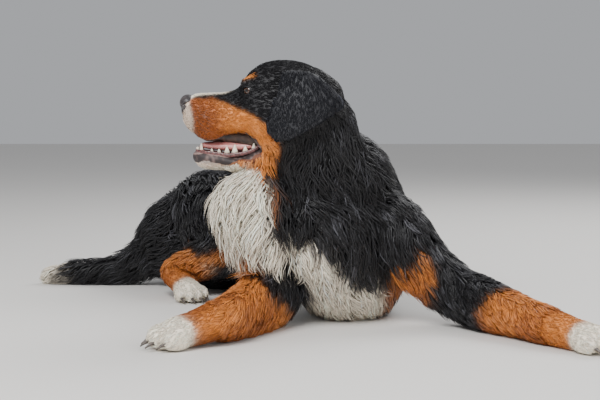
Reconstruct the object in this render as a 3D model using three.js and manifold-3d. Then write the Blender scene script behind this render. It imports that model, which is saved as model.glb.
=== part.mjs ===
// A Bernese mountain dog lying at rest with its head raised, life size, as a still museum model.
// Millimetres, +Z up. The origin is on the floor under the brisket. The animal's trunk bends in a
// wide arc: the chest faces -Y and a little to -X, the hips lie behind at -X, and the head looks
// along -X. Every part that meets the floor is cut to a small flat at Z = 0.

import * as THREE from "three";
import { mergeVertices } from "three/addons/utils/BufferGeometryUtils.js";
import Module from "manifold-3d";

const wasm = await Module();
wasm.setup();

// Bone lengths of a dog that stands 670 mm at the shoulder
const FOREARM = 240;
const FOREPAW = 150;
const THIGH = 192;
const SHANK = 188;
const HIND_FOOT = 155;

// The clearance that neighbouring parts keep, and the share of the coat's depth that is solid core
const GAP = 0.4;
const CORE_SHARE = 0.5;

const UP = new THREE.Vector3(0, 0, 1);
const DOWN = new THREE.Vector3(0, 0, -1);
const at = (x, y, z) => new THREE.Vector3(x, y, z);

// The place a bone ends, from where it starts, its compass heading from +X and its rise
function reach(from, heading, rise, length) {
  const h = THREE.MathUtils.degToRad(heading);
  const r = THREE.MathUtils.degToRad(rise);
  const way = at(Math.cos(h) * Math.cos(r), Math.sin(h) * Math.cos(r), Math.sin(r));
  return from.clone().addScaledVector(way, length);
}

const between = (a, b, share) => a.clone().lerp(b, share);

// Closed surface over rings of points, each ring turning the same way round the line of travel
function closedSurface(rings) {
  const sides = rings[0].length;
  const points = rings.flat();
  const faces = [];
  for (let i = 0; i + 1 < rings.length; i++) {
    for (let j = 0; j < sides; j++) {
      const a = i * sides + j;
      const b = i * sides + ((j + 1) % sides);
      faces.push(a, b, a + sides, b, b + sides, a + sides);
    }
  }
  const middle = (ring) => ring.reduce((sum, p) => sum.add(p), at(0, 0, 0)).divideScalar(sides);
  const first = points.push(middle(rings[0])) - 1;
  const last = points.push(middle(rings[rings.length - 1])) - 1;
  const end = (rings.length - 1) * sides;
  for (let j = 0; j < sides; j++) {
    const k = (j + 1) % sides;
    faces.push(first, k, j, last, end + j, end + k);
  }
  return new THREE.BufferGeometry().setFromPoints(points).setIndex(faces);
}

// A body part swept along a smooth line. A station is
// [place, half width, reach above, reach below, coat depth, taper, squareness].
// Taper below 0 narrows the top of the section. Along masks the axes that the line's direction
// may use, so that at(1, 0, 0) keeps every section upright.
class Limb {
  constructor(stations, { sides = 16, steps = 3, up = UP, along = at(1, 1, 1) } = {}) {
    const triple = (s, i, spare) => at(s[i] ?? spare[0], s[i + 1] ?? spare[1], s[i + 2] ?? spare[2]);
    this.line = new THREE.CatmullRomCurve3(stations.map((s) => s[0]), false, "catmullrom", 0.5);
    this.size = new THREE.CatmullRomCurve3(stations.map((s) => triple(s, 1)), false, "catmullrom", 0.5);
    this.trim = new THREE.CatmullRomCurve3(
      stations.map((s) => triple(s, 4, [0, 0, 1])), false, "catmullrom", 0.5);
    this.sides = sides;
    this.rings = (stations.length - 1) * steps;
    this.up = up;
    this.along = along;
  }

  frame(u) {
    const t = THREE.MathUtils.clamp(u, 0, 1);
    const ahead = this.line.getTangent(t).multiply(this.along).normalize();
    const side = new THREE.Vector3().crossVectors(this.up, ahead).normalize();
    const rise = new THREE.Vector3().crossVectors(ahead, side);
    const size = this.size.getPoint(t);
    const trim = this.trim.getPoint(t);
    return {
      middle: this.line.getPoint(t), ahead, side, rise,
      wide: Math.max(size.x, 2), above: Math.max(size.y, 2), below: Math.max(size.z, 2),
      coat: Math.max(trim.x, 0), taper: trim.y, square: trim.z,
    };
  }

  // A point of the surface at share u of the line and angle a from the left, lifted off the skin
  point(u, a, lift = 0, f = this.frame(u)) {
    const bulge = 1 / f.square;
    const c = Math.sign(Math.cos(a)) * Math.abs(Math.cos(a)) ** bulge;
    const s = Math.sign(Math.sin(a)) * Math.abs(Math.sin(a)) ** bulge;
    const across = (f.wide + lift) * c * (1 + f.taper * s);
    const height = ((s > 0 ? f.above : f.below) + lift) * s;
    return f.middle.clone().addScaledVector(f.side, across).addScaledVector(f.rise, height);
  }

  geometry(grow = 0) {
    const rings = [];
    for (let i = 0; i <= this.rings; i++) {
      const f = this.frame(i / this.rings);
      const ends = i === 0 ? -grow : i === this.rings ? grow : 0;
      f.middle.addScaledVector(f.ahead, ends);
      const ring = [];
      for (let j = 0; j < this.sides; j++) {
        ring.push(this.point(0, (2 * Math.PI * j) / this.sides, f.coat * CORE_SHARE + grow, f));
      }
      rings.push(ring);
    }
    return closedSurface(rings);
  }
}

// Seeded random numbers, so that the coat falls the same way each time
let seed = 20240;
function chance() {
  seed = (seed * 1664525 + 1013904223) % 4294967296;
  return seed / 4294967296;
}
const spread = (low, high) => low + (high - low) * chance();

// How far along a lock each of its sections lies, how wide it is there and how far out of the
// coat it has come, from its root, sunk in the core, to its tip
const LOCK_SECTIONS = [
  [0.0, 0.55, -0.45],
  [0.3, 1.0, 0.62],
  [0.68, 0.72, 0.95],
];

// A flat, tapered lock that follows the lie of the coat over a limb. It starts at share u and
// angle a, and its tip lies that much further along, at u + run, and round, at a + turn.
function lock(limb, [u, a, run, turn, width], grow) {
  const spot = (share, out, across, way = 1) => {
    const f = limb.frame(u + run * share);
    const girth = Math.max((f.wide + f.above + f.below) / 3, 12);
    const angle = a + turn * share * share + across / girth;
    const depth = CORE_SHARE + (out < 0 ? out : (1 - CORE_SHARE) * out);
    return limb.point(0, angle, f.coat * depth + grow * way, f);
  };
  const rings = LOCK_SECTIONS.map(([share, wide, out]) => {
    const half = (width * wide) / 2 + grow;
    return [
      spot(share, out - 0.12, -half), spot(share, out + 0.12, 0),
      spot(share, out - 0.12, half), spot(share, Math.min(out - 0.6, -0.15), 0, -1),
    ];
  });
  const points = rings.flat();
  const tip = points.push(spot(1 + grow / 12, 1, 0, 0)) - 1;
  const faces = [0, 2, 1, 0, 3, 2];
  for (let i = 0; i + 1 < rings.length; i++) {
    for (let j = 0; j < 4; j++) {
      const p = i * 4 + j;
      const q = i * 4 + ((j + 1) % 4);
      faces.push(p, q, p + 4, q, q + 4, p + 4);
    }
  }
  const end = (rings.length - 1) * 4;
  for (let j = 0; j < 4; j++) faces.push(end + j, end + ((j + 1) % 4), tip);
  return new THREE.BufferGeometry().setFromPoints(points).setIndex(faces);
}

// Locks combed over a stretch of a limb in staggered rows, from the tail end forward, each
// falling back along the limb and down under its own weight
function comb(limb, { from, to, rows, across, low = -0.45, high = 0.5, run, fall, width }) {
  const locks = [];
  for (let row = 0; row < rows; row++) {
    for (let k = 0; k < across; k++) {
      const u = from + ((to - from) * (row + 0.5 * (k % 2) + spread(-0.12, 0.12))) / rows;
      const round = low + ((high - low) * (k + 0.5 + spread(-0.18, 0.18))) / across;
      for (const side of [1, -1]) {
        const a = side > 0 ? Math.PI * round : Math.PI * (1 - round);
        const drop = -side * fall * Math.cos(Math.PI * round) * spread(0.7, 1.3);
        locks.push([u, a, run * spread(0.85, 1.15), drop, width * spread(0.85, 1.15)]);
      }
    }
  }
  return locks;
}

// An ellipsoid of three half sizes, set at a place and turned
function ball(place, [x, y, z], grow = 0, turn = [0, 0, 0], detail = [16, 10]) {
  return new THREE.SphereGeometry(1, ...detail)
    .scale(x + grow, y + grow, z + grow)
    .applyQuaternion(new THREE.Quaternion().setFromEuler(new THREE.Euler(...turn)))
    .translate(place.x, place.y, place.z);
}

function solidOf(geometry) {
  const bare = new THREE.BufferGeometry().setAttribute("position", geometry.getAttribute("position"));
  bare.setIndex(geometry.index);
  const merged = mergeVertices(bare, 1e-3);
  return new wasm.Manifold(new wasm.Mesh({
    numProp: 3,
    vertProperties: merged.attributes.position.array,
    triVerts: new Uint32Array(merged.index.array),
  }));
}

const joined = (geometries) => wasm.Manifold.union(geometries.map(solidOf));

function geometryOf(solid) {
  const mesh = solid.getMesh();
  return new THREE.BufferGeometry()
    .setAttribute("position", new THREE.BufferAttribute(new Float32Array(mesh.vertProperties), 3))
    .setIndex(new THREE.BufferAttribute(new Uint32Array(mesh.triVerts), 1));
}

// The largest closed surface of a solid
function mainBody(solid) {
  const bodies = solid.decompose().sort((a, b) => b.volume() - a.volume());
  return bodies[0];
}

// The coat and bare-skin colours
const finish = (color, roughness) => new THREE.MeshStandardMaterial({ color, roughness, metalness: 0 });
const BLACK_COAT = finish(0x141216, 0.55);
const RUST_COAT = finish(0xb5561c, 0.6);
const WHITE_COAT = finish(0xe9dccb, 0.65);
const NOSE_LEATHER = finish(0x1d1a1c, 0.4);
const EYE_BROWN = finish(0x2a1409, 0.08);
const TONGUE_PINK = finish(0xc9706c, 0.35);

// Trunk, from the breastbone round the bend of the back to the buttocks
const trunk = new Limb([
  [at(-146, -214, 202), 18, 18, 18, 16],
  [at(-132, -190, 200), 60, 56, 62, 22],
  [at(-86, -122, 190), 92, 98, 124, 28, -0.08],
  [at(-36, -25, 182), 104, 148, 182, 26, -0.16],
  [at(-26, 85, 182), 106, 172, 186, 26, -0.2],
  [at(-38, 195, 178), 112, 156, 182, 28, -0.16],
  [at(-74, 300, 170), 114, 138, 174, 30, -0.08],
  [at(-140, 382, 158), 112, 122, 162, 32],
  [at(-230, 425, 148), 108, 108, 152, 34],
  [at(-325, 440, 140), 100, 98, 138, 38],
  [at(-410, 442, 125), 78, 72, 106, 40],
  [at(-468, 442, 108), 46, 40, 62, 36],
  [at(-496, 442, 102), 12, 12, 18, 24],
], { sides: 18, steps: 2 });

// Neck, from inside the skull down and back into the chest. Its width lies along X.
const AWAY = at(0, 1, 0);
const neck = new Limb([
  [at(-103, -168, 448), 40, 44, 44, 8],
  [at(-101, -166, 410), 68, 74, 66, 16],
  [at(-105, -152, 360), 76, 84, 78, 32],
  [at(-104, -122, 310), 92, 96, 90, 38],
  [at(-84, -80, 262), 106, 108, 96, 44],
  [at(-60, -30, 215), 96, 104, 92, 30],
], { sides: 16, steps: 2, up: AWAY });

// Bib, the plume of long white hair from the throat down over the breastbone
const bib = new Limb([
  [at(-196, -196, 322), 14, 16, 14, 6],
  [at(-206, -200, 296), 34, 30, 24, 12],
  [at(-216, -204, 250), 54, 46, 36, 34],
  [at(-206, -202, 200), 48, 46, 36, 34],
  [at(-186, -190, 150), 34, 36, 30, 28],
  [at(-168, -172, 118), 10, 12, 10, 12],
], { sides: 12, steps: 2, up: AWAY });

// Forelegs
const leftShoulder = at(48, -96, 186);
const leftElbow = at(188, -142, 60);
const leftWrist = reach(leftElbow, -57, -6, FOREARM);
const leftToes = reach(leftWrist, -50, -8, FOREPAW);
const rightShoulder = at(-140, -110, 185);
const rightElbow = at(-170, -120, 76);
const rightWrist = reach(rightElbow, -114.5, -6.5, FOREARM);
const rightToes = reach(rightWrist, -150, -14, FOREPAW);

function upperArm(shoulder, elbow, sag) {
  const middle = between(shoulder, elbow, 0.5).add(at(0, -6, -sag));
  return new Limb([
    [shoulder.clone().add(at(-6, 60, 26)), 22, 22, 22, 8],
    [shoulder, 54, 54, 54, 22],
    [middle, 42, 42, 42, 18],
    [elbow, 37, 37, 37, 14],
    [elbow.clone().lerp(middle, -0.42), 9, 9, 9, 8],
  ], { sides: 12, steps: 2, up: AWAY });
}

// The feather is the fringe of long hair along the back of the forearm
function forearm(elbow, wrist, feather) {
  const on = (share) => between(elbow, wrist, share);
  return new Limb([
    [on(-0.16), 12, 12, 12, 6],
    [on(-0.02), 38, 38, 37 + 0.6 * feather, 13],
    [on(0.3), 39, 38, 38 + feather, 13],
    [on(0.7), 31, 30, 28 + feather, 10],
    [on(1.0), 31, 29, 26 + 0.4 * feather, 8],
    [on(1.12), 14, 13, 13, 5],
  ], { sides: 12, steps: 2 });
}

// A paw: its sole line, four toes side by side and a claw on each
const TOES = [-1.5, -0.5, 0.5, 1.5];

function paw(ankle, tips, wide, thick, grow = 0) {
  const ahead = tips.clone().sub(ankle).normalize();
  const side = new THREE.Vector3().crossVectors(UP, ahead).normalize();
  const heading = Math.atan2(ahead.y, ahead.x);
  const on = (share) => between(ankle, tips, share);
  const body = new Limb([
    [on(0.02), 12, 12, 12],
    [on(0.08), thick * 1.1, thick, thick],
    [on(0.4), thick * 1.12, thick * 0.92, thick],
    [on(0.7), wide * 0.86, thick * 0.92, thick * 0.75],
    [on(0.84), wide * 0.6, thick * 0.6, thick * 0.5],
    [on(0.9), wide * 0.3, thick * 0.3, thick * 0.3],
  ], { sides: 9, steps: 1 });
  const pieces = [body.geometry(grow)];
  for (const toe of TOES) {
    const inner = Math.abs(toe) < 1;
    const knuckle = on(inner ? 0.82 : 0.74).addScaledVector(side, toe * wide * 0.5);
    knuckle.z = Math.max(knuckle.z - 1, thick * 0.62);
    const size = [thick * 0.95, wide * 0.28, thick * 0.7];
    pieces.push(ball(knuckle, size, grow, [0, 0, heading + toe * -0.06], [6, 4]));
    const claw = new THREE.ConeGeometry(5 + grow, 22 + 2 * grow, 4)
      .rotateZ(-Math.PI / 2)
      .rotateY(0.42)
      .rotateZ(heading);
    const root = knuckle.clone().addScaledVector(ahead, thick * 0.92);
    claw.translate(root.x, root.y, thick * 0.46);
    pieces.push(claw);
  }
  return pieces;
}

// Hind legs
const rightHip = at(-335, 402, 186);
const rightStifle = reach(rightHip, -60, -19, THIGH);
const rightHock = reach(rightStifle, 172, -22, SHANK);
const rightHindToes = reach(rightHock, -63, -17, HIND_FOOT);
const leftHip = at(-335, 478, 186);
const leftStifle = reach(leftHip, 56, -19, THIGH);
const leftHock = reach(leftStifle, 186, -22, SHANK);
const leftHindToes = reach(leftHock, 34, -17, HIND_FOOT);

function thigh(hip, stifle) {
  const on = (share) => between(hip, stifle, share);
  return new Limb([
    [on(-0.42), 20, 20, 20, 20],
    [on(-0.25), 62, 50, 74, 34],
    [on(0.2), 82, 56, 106, 38],
    [on(0.62), 72, 56, 84, 34],
    [on(0.95), 46, 46, 50, 22],
    [on(1.2), 12, 12, 12, 8],
  ], { sides: 12, steps: 2 });
}

function shank(stifle, hock) {
  const on = (share) => between(stifle, hock, share);
  return new Limb([
    [on(-0.14), 12, 12, 12, 4],
    [on(0.0), 36, 36, 36, 12],
    [on(0.35), 35, 33, 37, 18],
    [on(0.75), 22, 22, 25, 18],
    [on(1.0), 21, 24, 24, 8],
    [on(1.12), 9, 10, 10, 4],
  ], { sides: 12, steps: 2 });
}

// Tail, lying on the floor behind the hips and trailing to -X
const tail = new Limb([
  [at(-440, 446, 120), 14, 14, 14, 8],
  [at(-464, 448, 100), 26, 26, 26, 20],
  [at(-506, 453, 60), 22, 22, 22, 26],
  [at(-566, 460, 36), 18, 17, 18, 26],
  [at(-636, 466, 30), 14, 13, 14, 26],
  [at(-702, 468, 26), 10, 9, 10, 20],
  [at(-744, 469, 18), 4, 4, 4, 8],
], { sides: 12, steps: 2 });

// The head is made in a frame of its own: +X to the nose, +Y to the dog's left, +Z up,
// with its origin in the middle of the skull.
const head = new THREE.Group();
head.position.set(-149, -180, 431);
head.rotation.z = Math.PI;
head.updateMatrixWorld(true);
const onBody = (geometry) => geometry.clone().applyMatrix4(head.matrixWorld);

const skull = new Limb([
  [at(-100, 0, -4), 14, 14, 20],
  [at(-90, 0, -4), 44, 42, 48],
  [at(-62, 0, -2), 66, 62, 74, 0, -0.05, 1.05],
  [at(-25, 0, 0), 76, 79, 88, 0, -0.12, 1.08],
  [at(15, 0, 0), 77, 84, 94, 0, -0.18, 1.08],
  [at(48, 0, -2), 74, 81, 92, 0, -0.26, 1.06],
  [at(74, 0, -8), 64, 71, 54, 0, -0.33, 1.05],
  [at(90, 0, -14), 54, 54, 42, 0, -0.32, 1.08],
  [at(104, 0, -18), 48, 46, 38, 0, -0.28, 1.12],
  [at(126, 0, -19), 46, 42, 42, 0, -0.28, 1.15],
  [at(150, 0, -20), 46, 42, 47, 0, -0.26, 1.15],
  [at(170, 0, -20), 42, 41, 45, 0, -0.22, 1.1],
  [at(184, 0, -19), 36, 38, 33, 0, -0.15, 1.05],
  [at(194, 0, -18), 28, 34, 25],
  [at(200, 0, -18), 17, 25, 16],
  [at(203, 0, -18), 6, 9, 6],
], { sides: 16, steps: 1, along: at(1, 0, 0) });

// Space inside the lips, from the front teeth to the corners of the mouth
const mouthSpace = new Limb([
  [at(52, 0, -80), 22, 6, 10],
  [at(64, 0, -80), 46, 12, 26],
  [at(90, 0, -86), 42, 44, 50],
  [at(126, 0, -90), 35, 48, 50],
  [at(160, 0, -94), 29, 50, 44],
  [at(176, 0, -98), 16, 40, 36],
  [at(181, 0, -100), 6, 20, 20],
], { sides: 12, steps: 1, along: at(1, 0, 0) });

const lowerJaw = new Limb([
  [at(14, 0, -92), 30, 12, 12],
  [at(36, 0, -98), 46, 20, 22],
  [at(62, 0, -101), 46, 21, 21],
  [at(90, 0, -108), 42, 14, 15],
  [at(108, 0, -108), 39, 14, 15],
  [at(132, 0, -104), 34, 18, 16],
  [at(158, 0, -102), 28, 17, 17],
  [at(176, 0, -99), 19, 14, 14],
  [at(185, 0, -97), 6, 5, 6],
], { sides: 12, steps: 1, along: at(1, 0, 0) });

const jawTrough = new Limb([
  [at(50, 0, -80), 10, 4, 6],
  [at(66, 0, -80), 34, 14, 12],
  [at(100, 0, -88), 30, 20, 9],
  [at(140, 0, -84), 24, 20, 8],
  [at(166, 0, -82), 16, 16, 6],
  [at(174, 0, -82), 5, 6, 3],
], { sides: 10, steps: 1, along: at(1, 0, 0) });

const tongue = new Limb([
  [at(56, 0, -78), 10, 4, 4],
  [at(68, 0, -78), 24, 14, 8],
  [at(96, 0, -80), 24, 19, 9],
  [at(126, 0, -80), 22, 12, 8],
  [at(152, 0, -79), 18, 7, 6],
  [at(165, 0, -79), 5, 3, 3],
], { sides: 10, steps: 1, along: at(1, 0, 0) });

// Teeth: [place along the jaw, out from the middle, root height, length, thickness]
const LOWER_TEETH = [
  [168, 14, -88, 20, 9],
  [150, 22, -90, 8, 7],
  [136, 26, -91, 10, 9],
  [119, 30, -93, 17, 12],
  [104, 33, -94, 21, 14],
  [84, 36, -90, 13, 12],
];
const UPPER_TEETH = [
  [172, 15, -42, -24, 9],
  [116, 34, -42, -12, 12],
  [96, 39, -38, -18, 15],
];

function teeth(rows, grow = 0) {
  const pieces = [];
  for (const [x, y, z, length, thick] of rows) {
    for (const side of [-1, 1]) {
      const tall = Math.abs(length) + 10;
      const tooth = new THREE.ConeGeometry(thick / 2 + grow, tall + 2 * grow, 4).rotateX(Math.PI / 2);
      if (length < 0) tooth.rotateX(Math.PI);
      const middle = z + length - (Math.sign(length) * tall) / 2;
      pieces.push(tooth.scale(1, 0.6, 1).translate(x, side * y, middle));
    }
  }
  return pieces;
}

// Eyes, each with an upper and a lower lid over its socket
const EYE_RADIUS = 12.5;
const eyeCentre = (side) => at(74, side * 33, 27);
const eyeTurn = (side) => side * 0.75;
const lidBall = (side) => ball(eyeCentre(side), [16.5, 16.5, 15], 0, [0, 0, eyeTurn(side)], [12, 8]);
const socket = (side) => ball(eyeCentre(side), [12.5, 12.5, 12.5], GAP, [0, 0, 0], [12, 8]);

function lidOpening(side) {
  const way = at(Math.cos(eyeTurn(side)), Math.sin(eyeTurn(side)), 0.02).normalize();
  const place = eyeCentre(side).addScaledVector(way, 17);
  return ball(place, [14, 11, 6.2], 0, [side * 0.1, 0, eyeTurn(side)], [10, 6]);
}

// Nose leather with two nostrils and the groove below them
const noseForm = (grow = 0) => joined([
  ball(at(194, 0, 4), [16, 24, 17], grow, [0, 0.1, 0], [10, 7]),
  ball(at(199, 0, -9), [8, 11, 13], grow, [0, 0, 0], [8, 6]),
]);

function makeNose() {
  let nose = noseForm();
  for (const side of [-1, 1]) {
    const nostril = ball(at(212, side * 12, 4), [11, 5, 5.5], 0, [0, 0, side * 0.5], [8, 5]);
    const slit = ball(at(203, side * 23, 0), [13, 5, 2.6], 0, [0, 0.35, side * 0.2], [8, 5]);
    nose = nose.subtract(solidOf(nostril)).subtract(solidOf(slit));
  }
  const groove = new THREE.BoxGeometry(12, 1.6, 26).translate(213, 0, -16);
  return mainBody(nose.subtract(solidOf(groove)));
}

// Ears: a soft flap that rises from the skull, folds over and hangs, its edges curled in
const EAR_CURL = 0.003;

function ear(side, grow = 0) {
  const flap = new Limb([
    [at(-14, side * 38, 61), 22, 7, 7],
    [at(-14, side * 60, 59.5), 28, 8, 7],
    [at(-22, side * 79, 48), 41, 7, 6],
    [at(-33, side * 91, 22), 58, 6, 6],
    [at(-35, side * 96, 0), 66, 6, 6],
    [at(-13, side * 98, -27), 55, 5, 5],
    [at(4, side * 98, -48), 37, 5, 5],
    [at(12, side * 97, -64), 14, 3, 3],
  ], { sides: 12, steps: 1, up: at(0, side, 0), along: at(0, 1, 1) });
  const shape = flap.geometry(grow);
  const spots = shape.getAttribute("position");
  for (let i = 0; i < spots.count; i++) {
    const out = spots.getX(i) + 25;
    spots.setY(i, spots.getY(i) - side * EAR_CURL * out * out);
  }
  return shape;
}

const headForms = (grow = 0) => {
  const forms = [skull.geometry(grow)];
  for (const side of [-1, 1]) {
    forms.push(ball(at(80, side * 29, 43), [17, 13, 10], grow, [0, 0.3, side * 0.3], [8, 6]));
    forms.push(ball(at(14, side * 40, -57), [52, 37, 42], grow, [0, 0, 0], [8, 6]));
    forms.push(ball(at(154, side * 24, -40), [27, 23, 28], grow, [0, 0, 0], [8, 6]));
  }
  return forms;
};

function makeHead() {
  let solid = joined([...headForms(), ...[-1, 1].map(lidBall)]);
  solid = solid.subtract(solidOf(mouthSpace.geometry()));
  solid = solid.add(joined(teeth(UPPER_TEETH)));
  solid = solid.subtract(noseForm(GAP)).subtract(solidOf(tongue.geometry(GAP)));
  for (const side of [-1, 1]) {
    solid = solid.subtract(solidOf(socket(side))).subtract(solidOf(lidOpening(side)));
    solid = solid.subtract(solidOf(ear(side, GAP)));
  }
  return mainBody(solid);
}

function makeJaw(headSolidGrown) {
  let solid = solidOf(lowerJaw.geometry()).subtract(solidOf(jawTrough.geometry()));
  solid = solid.add(joined(teeth(LOWER_TEETH)));
  solid = solid.subtract(solidOf(tongue.geometry(GAP)));
  return mainBody(solid.subtract(headSolidGrown));
}

// A body part with its locks
const coated = (limb, locks) => (grow) => [
  limb.geometry(grow), ...locks.map((one) => lock(limb, one, grow)),
];

// Assembly
const dog = new THREE.Group();
dog.name = "bernese_mountain_dog";
dog.add(head);

const floor = solidOf(new THREE.BoxGeometry(3000, 3000, 400).translate(0, 0, -200));
const grown = [];

function addPart(parent, name, material, solid) {
  const mesh = new THREE.Mesh(geometryOf(solid), material);
  mesh.name = name;
  parent.add(mesh);
}

// A part of the body: cut clear of the parts already placed and of the floor
function settle(name, material, make) {
  let solid = make(0);
  for (const placed of grown) solid = solid.subtract(placed);
  addPart(dog, name, material, mainBody(solid.subtract(floor)));
  grown.push(make(0).add(make(GAP)));
}

const trunkLocks = comb(trunk, {
  from: 0.18, to: 0.86, rows: 4, across: 2, low: -0.34, high: 0.42,
  run: 0.12, fall: 0.22, width: 115,
});

// Trunk parted across the back into chest, belly and hips
const PARTINGS = [0.3, 0.56];

function trunkLength(from, to) {
  const slabs = (grow) => {
    const make = (u, way) => {
      const f = trunk.frame(u);
      const slab = new THREE.BoxGeometry(900, 900, 600);
      const turn = new THREE.Matrix4().makeBasis(f.side, f.rise, f.ahead);
      return slab.applyMatrix4(turn.setPosition(
        f.middle.clone().addScaledVector(f.ahead, way * (300 + grow - GAP / 2))));
    };
    return [from > 0 && make(from, -1), to < 1 && make(to, 1)].filter(Boolean);
  };
  const parts = coated(trunk, trunkLocks.filter(([u]) => u > from - 0.03 && u <= to));
  return (grow) => slabs(grow).reduce(
    (solid, slab) => solid.subtract(solidOf(slab)), joined(parts(grow)));
}

settle("chest", BLACK_COAT, trunkLength(0, PARTINGS[0]));
settle("belly", BLACK_COAT, trunkLength(PARTINGS[0], PARTINGS[1]));
settle("hips", BLACK_COAT, trunkLength(PARTINGS[1], 1));

// Head and what it carries
const headSolid = makeHead();
addPart(head, "head", BLACK_COAT, headSolid);
addPart(head, "nose", NOSE_LEATHER, makeNose());
addPart(head, "tongue", TONGUE_PINK, solidOf(tongue.geometry()));
const headGrown = joined([...headForms(GAP), ...teeth(UPPER_TEETH, GAP)])
  .subtract(solidOf(mouthSpace.geometry(-GAP)));
addPart(head, "lower_jaw", BLACK_COAT, makeJaw(headGrown));
for (const [name, side] of [["left", 1], ["right", -1]]) {
  const eye = new THREE.Mesh(new THREE.SphereGeometry(EYE_RADIUS, 12, 8), EYE_BROWN);
  eye.name = `eye_${name}`;
  eye.position.copy(eyeCentre(side));
  head.add(eye);
  addPart(head, `ear_${name}`, BLACK_COAT, solidOf(ear(side)));
}

const headOnBody = joined([
  ...headForms(GAP), lowerJaw.geometry(GAP), tongue.geometry(GAP), ear(1, GAP), ear(-1, GAP),
].map(onBody));
grown.push(headOnBody);

const neckLocks = comb(neck, {
  from: 0.26, to: 0.8, rows: 3, across: 2, low: -0.5, high: 0.4, run: 0.2, fall: 0.1, width: 66,
});
const bibLocks = comb(bib, {
  from: 0.24, to: 0.84, rows: 3, across: 1, low: -0.5, high: 0.3, run: 0.26, fall: 0.1, width: 62,
});
const ruff = coated(neck, neckLocks);
const plume = coated(bib, bibLocks);
settle("neck", BLACK_COAT, (grow) => joined([...ruff(grow), ...plume(grow)]));

// Legs and tail
const limbPart = (limb, manner) => {
  const parts = coated(limb, manner ? comb(limb, manner) : []);
  return (grow) => joined(parts(grow));
};
const ARM_COAT = {
  from: 0.36, to: 0.8, rows: 2, across: 1, low: -0.4, high: 0.2, run: 0.26, fall: 0.2, width: 56,
};
const FEATHER = {
  from: 0.3, to: 0.84, rows: 2, across: 1, low: -0.5, high: -0.2, run: 0.2, fall: 0.15, width: 30,
};
const TROUSERS = {
  from: 0.26, to: 0.8, rows: 2, across: 1, low: -0.4, high: 0.3, run: 0.24, fall: 0.25, width: 84,
};
const TAIL_PLUME = {
  from: 0.18, to: 0.86, rows: 3, across: 1, low: -0.15, high: 0.3, run: 0.2, fall: 0.35, width: 38,
};
const pawPart = (...sizes) => (grow) => joined(paw(...sizes, grow));

for (const [name, shoulder, elbow, wrist, toes, sag, feather] of [
  ["left", leftShoulder, leftElbow, leftWrist, leftToes, 14, 4],
  ["right", rightShoulder, rightElbow, rightWrist, rightToes, 4, 26],
]) {
  const arm = `upper_arm_${name}`;
  const fore = `forearm_${name}`;
  settle(arm, BLACK_COAT, limbPart(upperArm(shoulder, elbow, sag), ARM_COAT));
  settle(fore, RUST_COAT, limbPart(forearm(elbow, wrist, feather), FEATHER));
  settle(`forepaw_${name}`, WHITE_COAT, pawPart(wrist, toes, 44, name === "left" ? 32 : 34));
}

for (const [name, hip, stifle, hock, toes] of [
  ["right", rightHip, rightStifle, rightHock, rightHindToes],
  ["left", leftHip, leftStifle, leftHock, leftHindToes],
]) {
  const upper = `thigh_${name}`;
  const lower = `shank_${name}`;
  settle(upper, BLACK_COAT, limbPart(thigh(hip, stifle), TROUSERS));
  settle(lower, RUST_COAT, limbPart(shank(stifle, hock)));
  settle(`hind_foot_${name}`, WHITE_COAT, pawPart(hock, toes, 38, 26));
}

settle("tail", BLACK_COAT, limbPart(tail, TAIL_PLUME));

export default dog;
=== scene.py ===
# Bernese mountain dog, life size, lying at rest with its head raised: a still museum model.
# Metres, +Z up, floor at Z = 0. Body forms are written in millimetres, as the solids are.

import math

import bpy
import numpy as np
from mathutils import Matrix, Vector
from mathutils.bvhtree import BVHTree
from mathutils.kdtree import KDTree


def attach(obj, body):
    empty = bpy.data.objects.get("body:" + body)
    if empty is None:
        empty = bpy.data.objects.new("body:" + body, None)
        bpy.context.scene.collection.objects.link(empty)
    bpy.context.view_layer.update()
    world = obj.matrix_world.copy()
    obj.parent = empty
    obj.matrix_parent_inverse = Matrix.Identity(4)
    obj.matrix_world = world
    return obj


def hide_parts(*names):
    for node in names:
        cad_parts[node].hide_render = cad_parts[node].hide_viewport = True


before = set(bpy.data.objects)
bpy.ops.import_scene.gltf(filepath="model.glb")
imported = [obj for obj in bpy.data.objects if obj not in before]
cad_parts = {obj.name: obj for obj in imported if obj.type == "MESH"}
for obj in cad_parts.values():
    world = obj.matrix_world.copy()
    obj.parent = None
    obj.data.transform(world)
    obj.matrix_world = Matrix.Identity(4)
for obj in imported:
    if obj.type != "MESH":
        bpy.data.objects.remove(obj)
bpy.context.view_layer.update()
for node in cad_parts.values():
    node.select_set(False)

MM = 0.001
rng = np.random.default_rng(7)


# Trunk
# The barrel of the body under its long coat, bent in a wide arc from chest to rump. Each station
# of a form gives place, half width, reach above and below, coat depth, taper and squareness.
SKIN_SHARE = 0.35  # how far out through the coat's depth the skin lies


def through(values, t):
    """A smooth curve through values and its slope, at t from 0 to 1."""
    points = np.asarray(values, float)
    held = np.vstack([2 * points[0] - points[1], points, 2 * points[-1] - points[-2]])
    spans = len(points) - 1
    s = np.clip(t, 0, 1) * spans
    i = np.minimum(s.astype(int), spans - 1)
    w = (s - i)[:, None]
    a, b, c, d = held[i], held[i + 1], held[i + 2], held[i + 3]
    m = (c - a) / 2
    n = (d - b) / 2
    place = (2 * b - 2 * c + m + n) * w**3 + (3 * c - 3 * b - 2 * m - n) * w**2 + m * w + b
    slope = 3 * (2 * b - 2 * c + m + n) * w**2 + 2 * (3 * c - 3 * b - 2 * m - n) * w + m
    return place, slope


def unit(v):
    return v / np.maximum(np.linalg.norm(v, axis=-1, keepdims=True), 1e-9)


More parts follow.
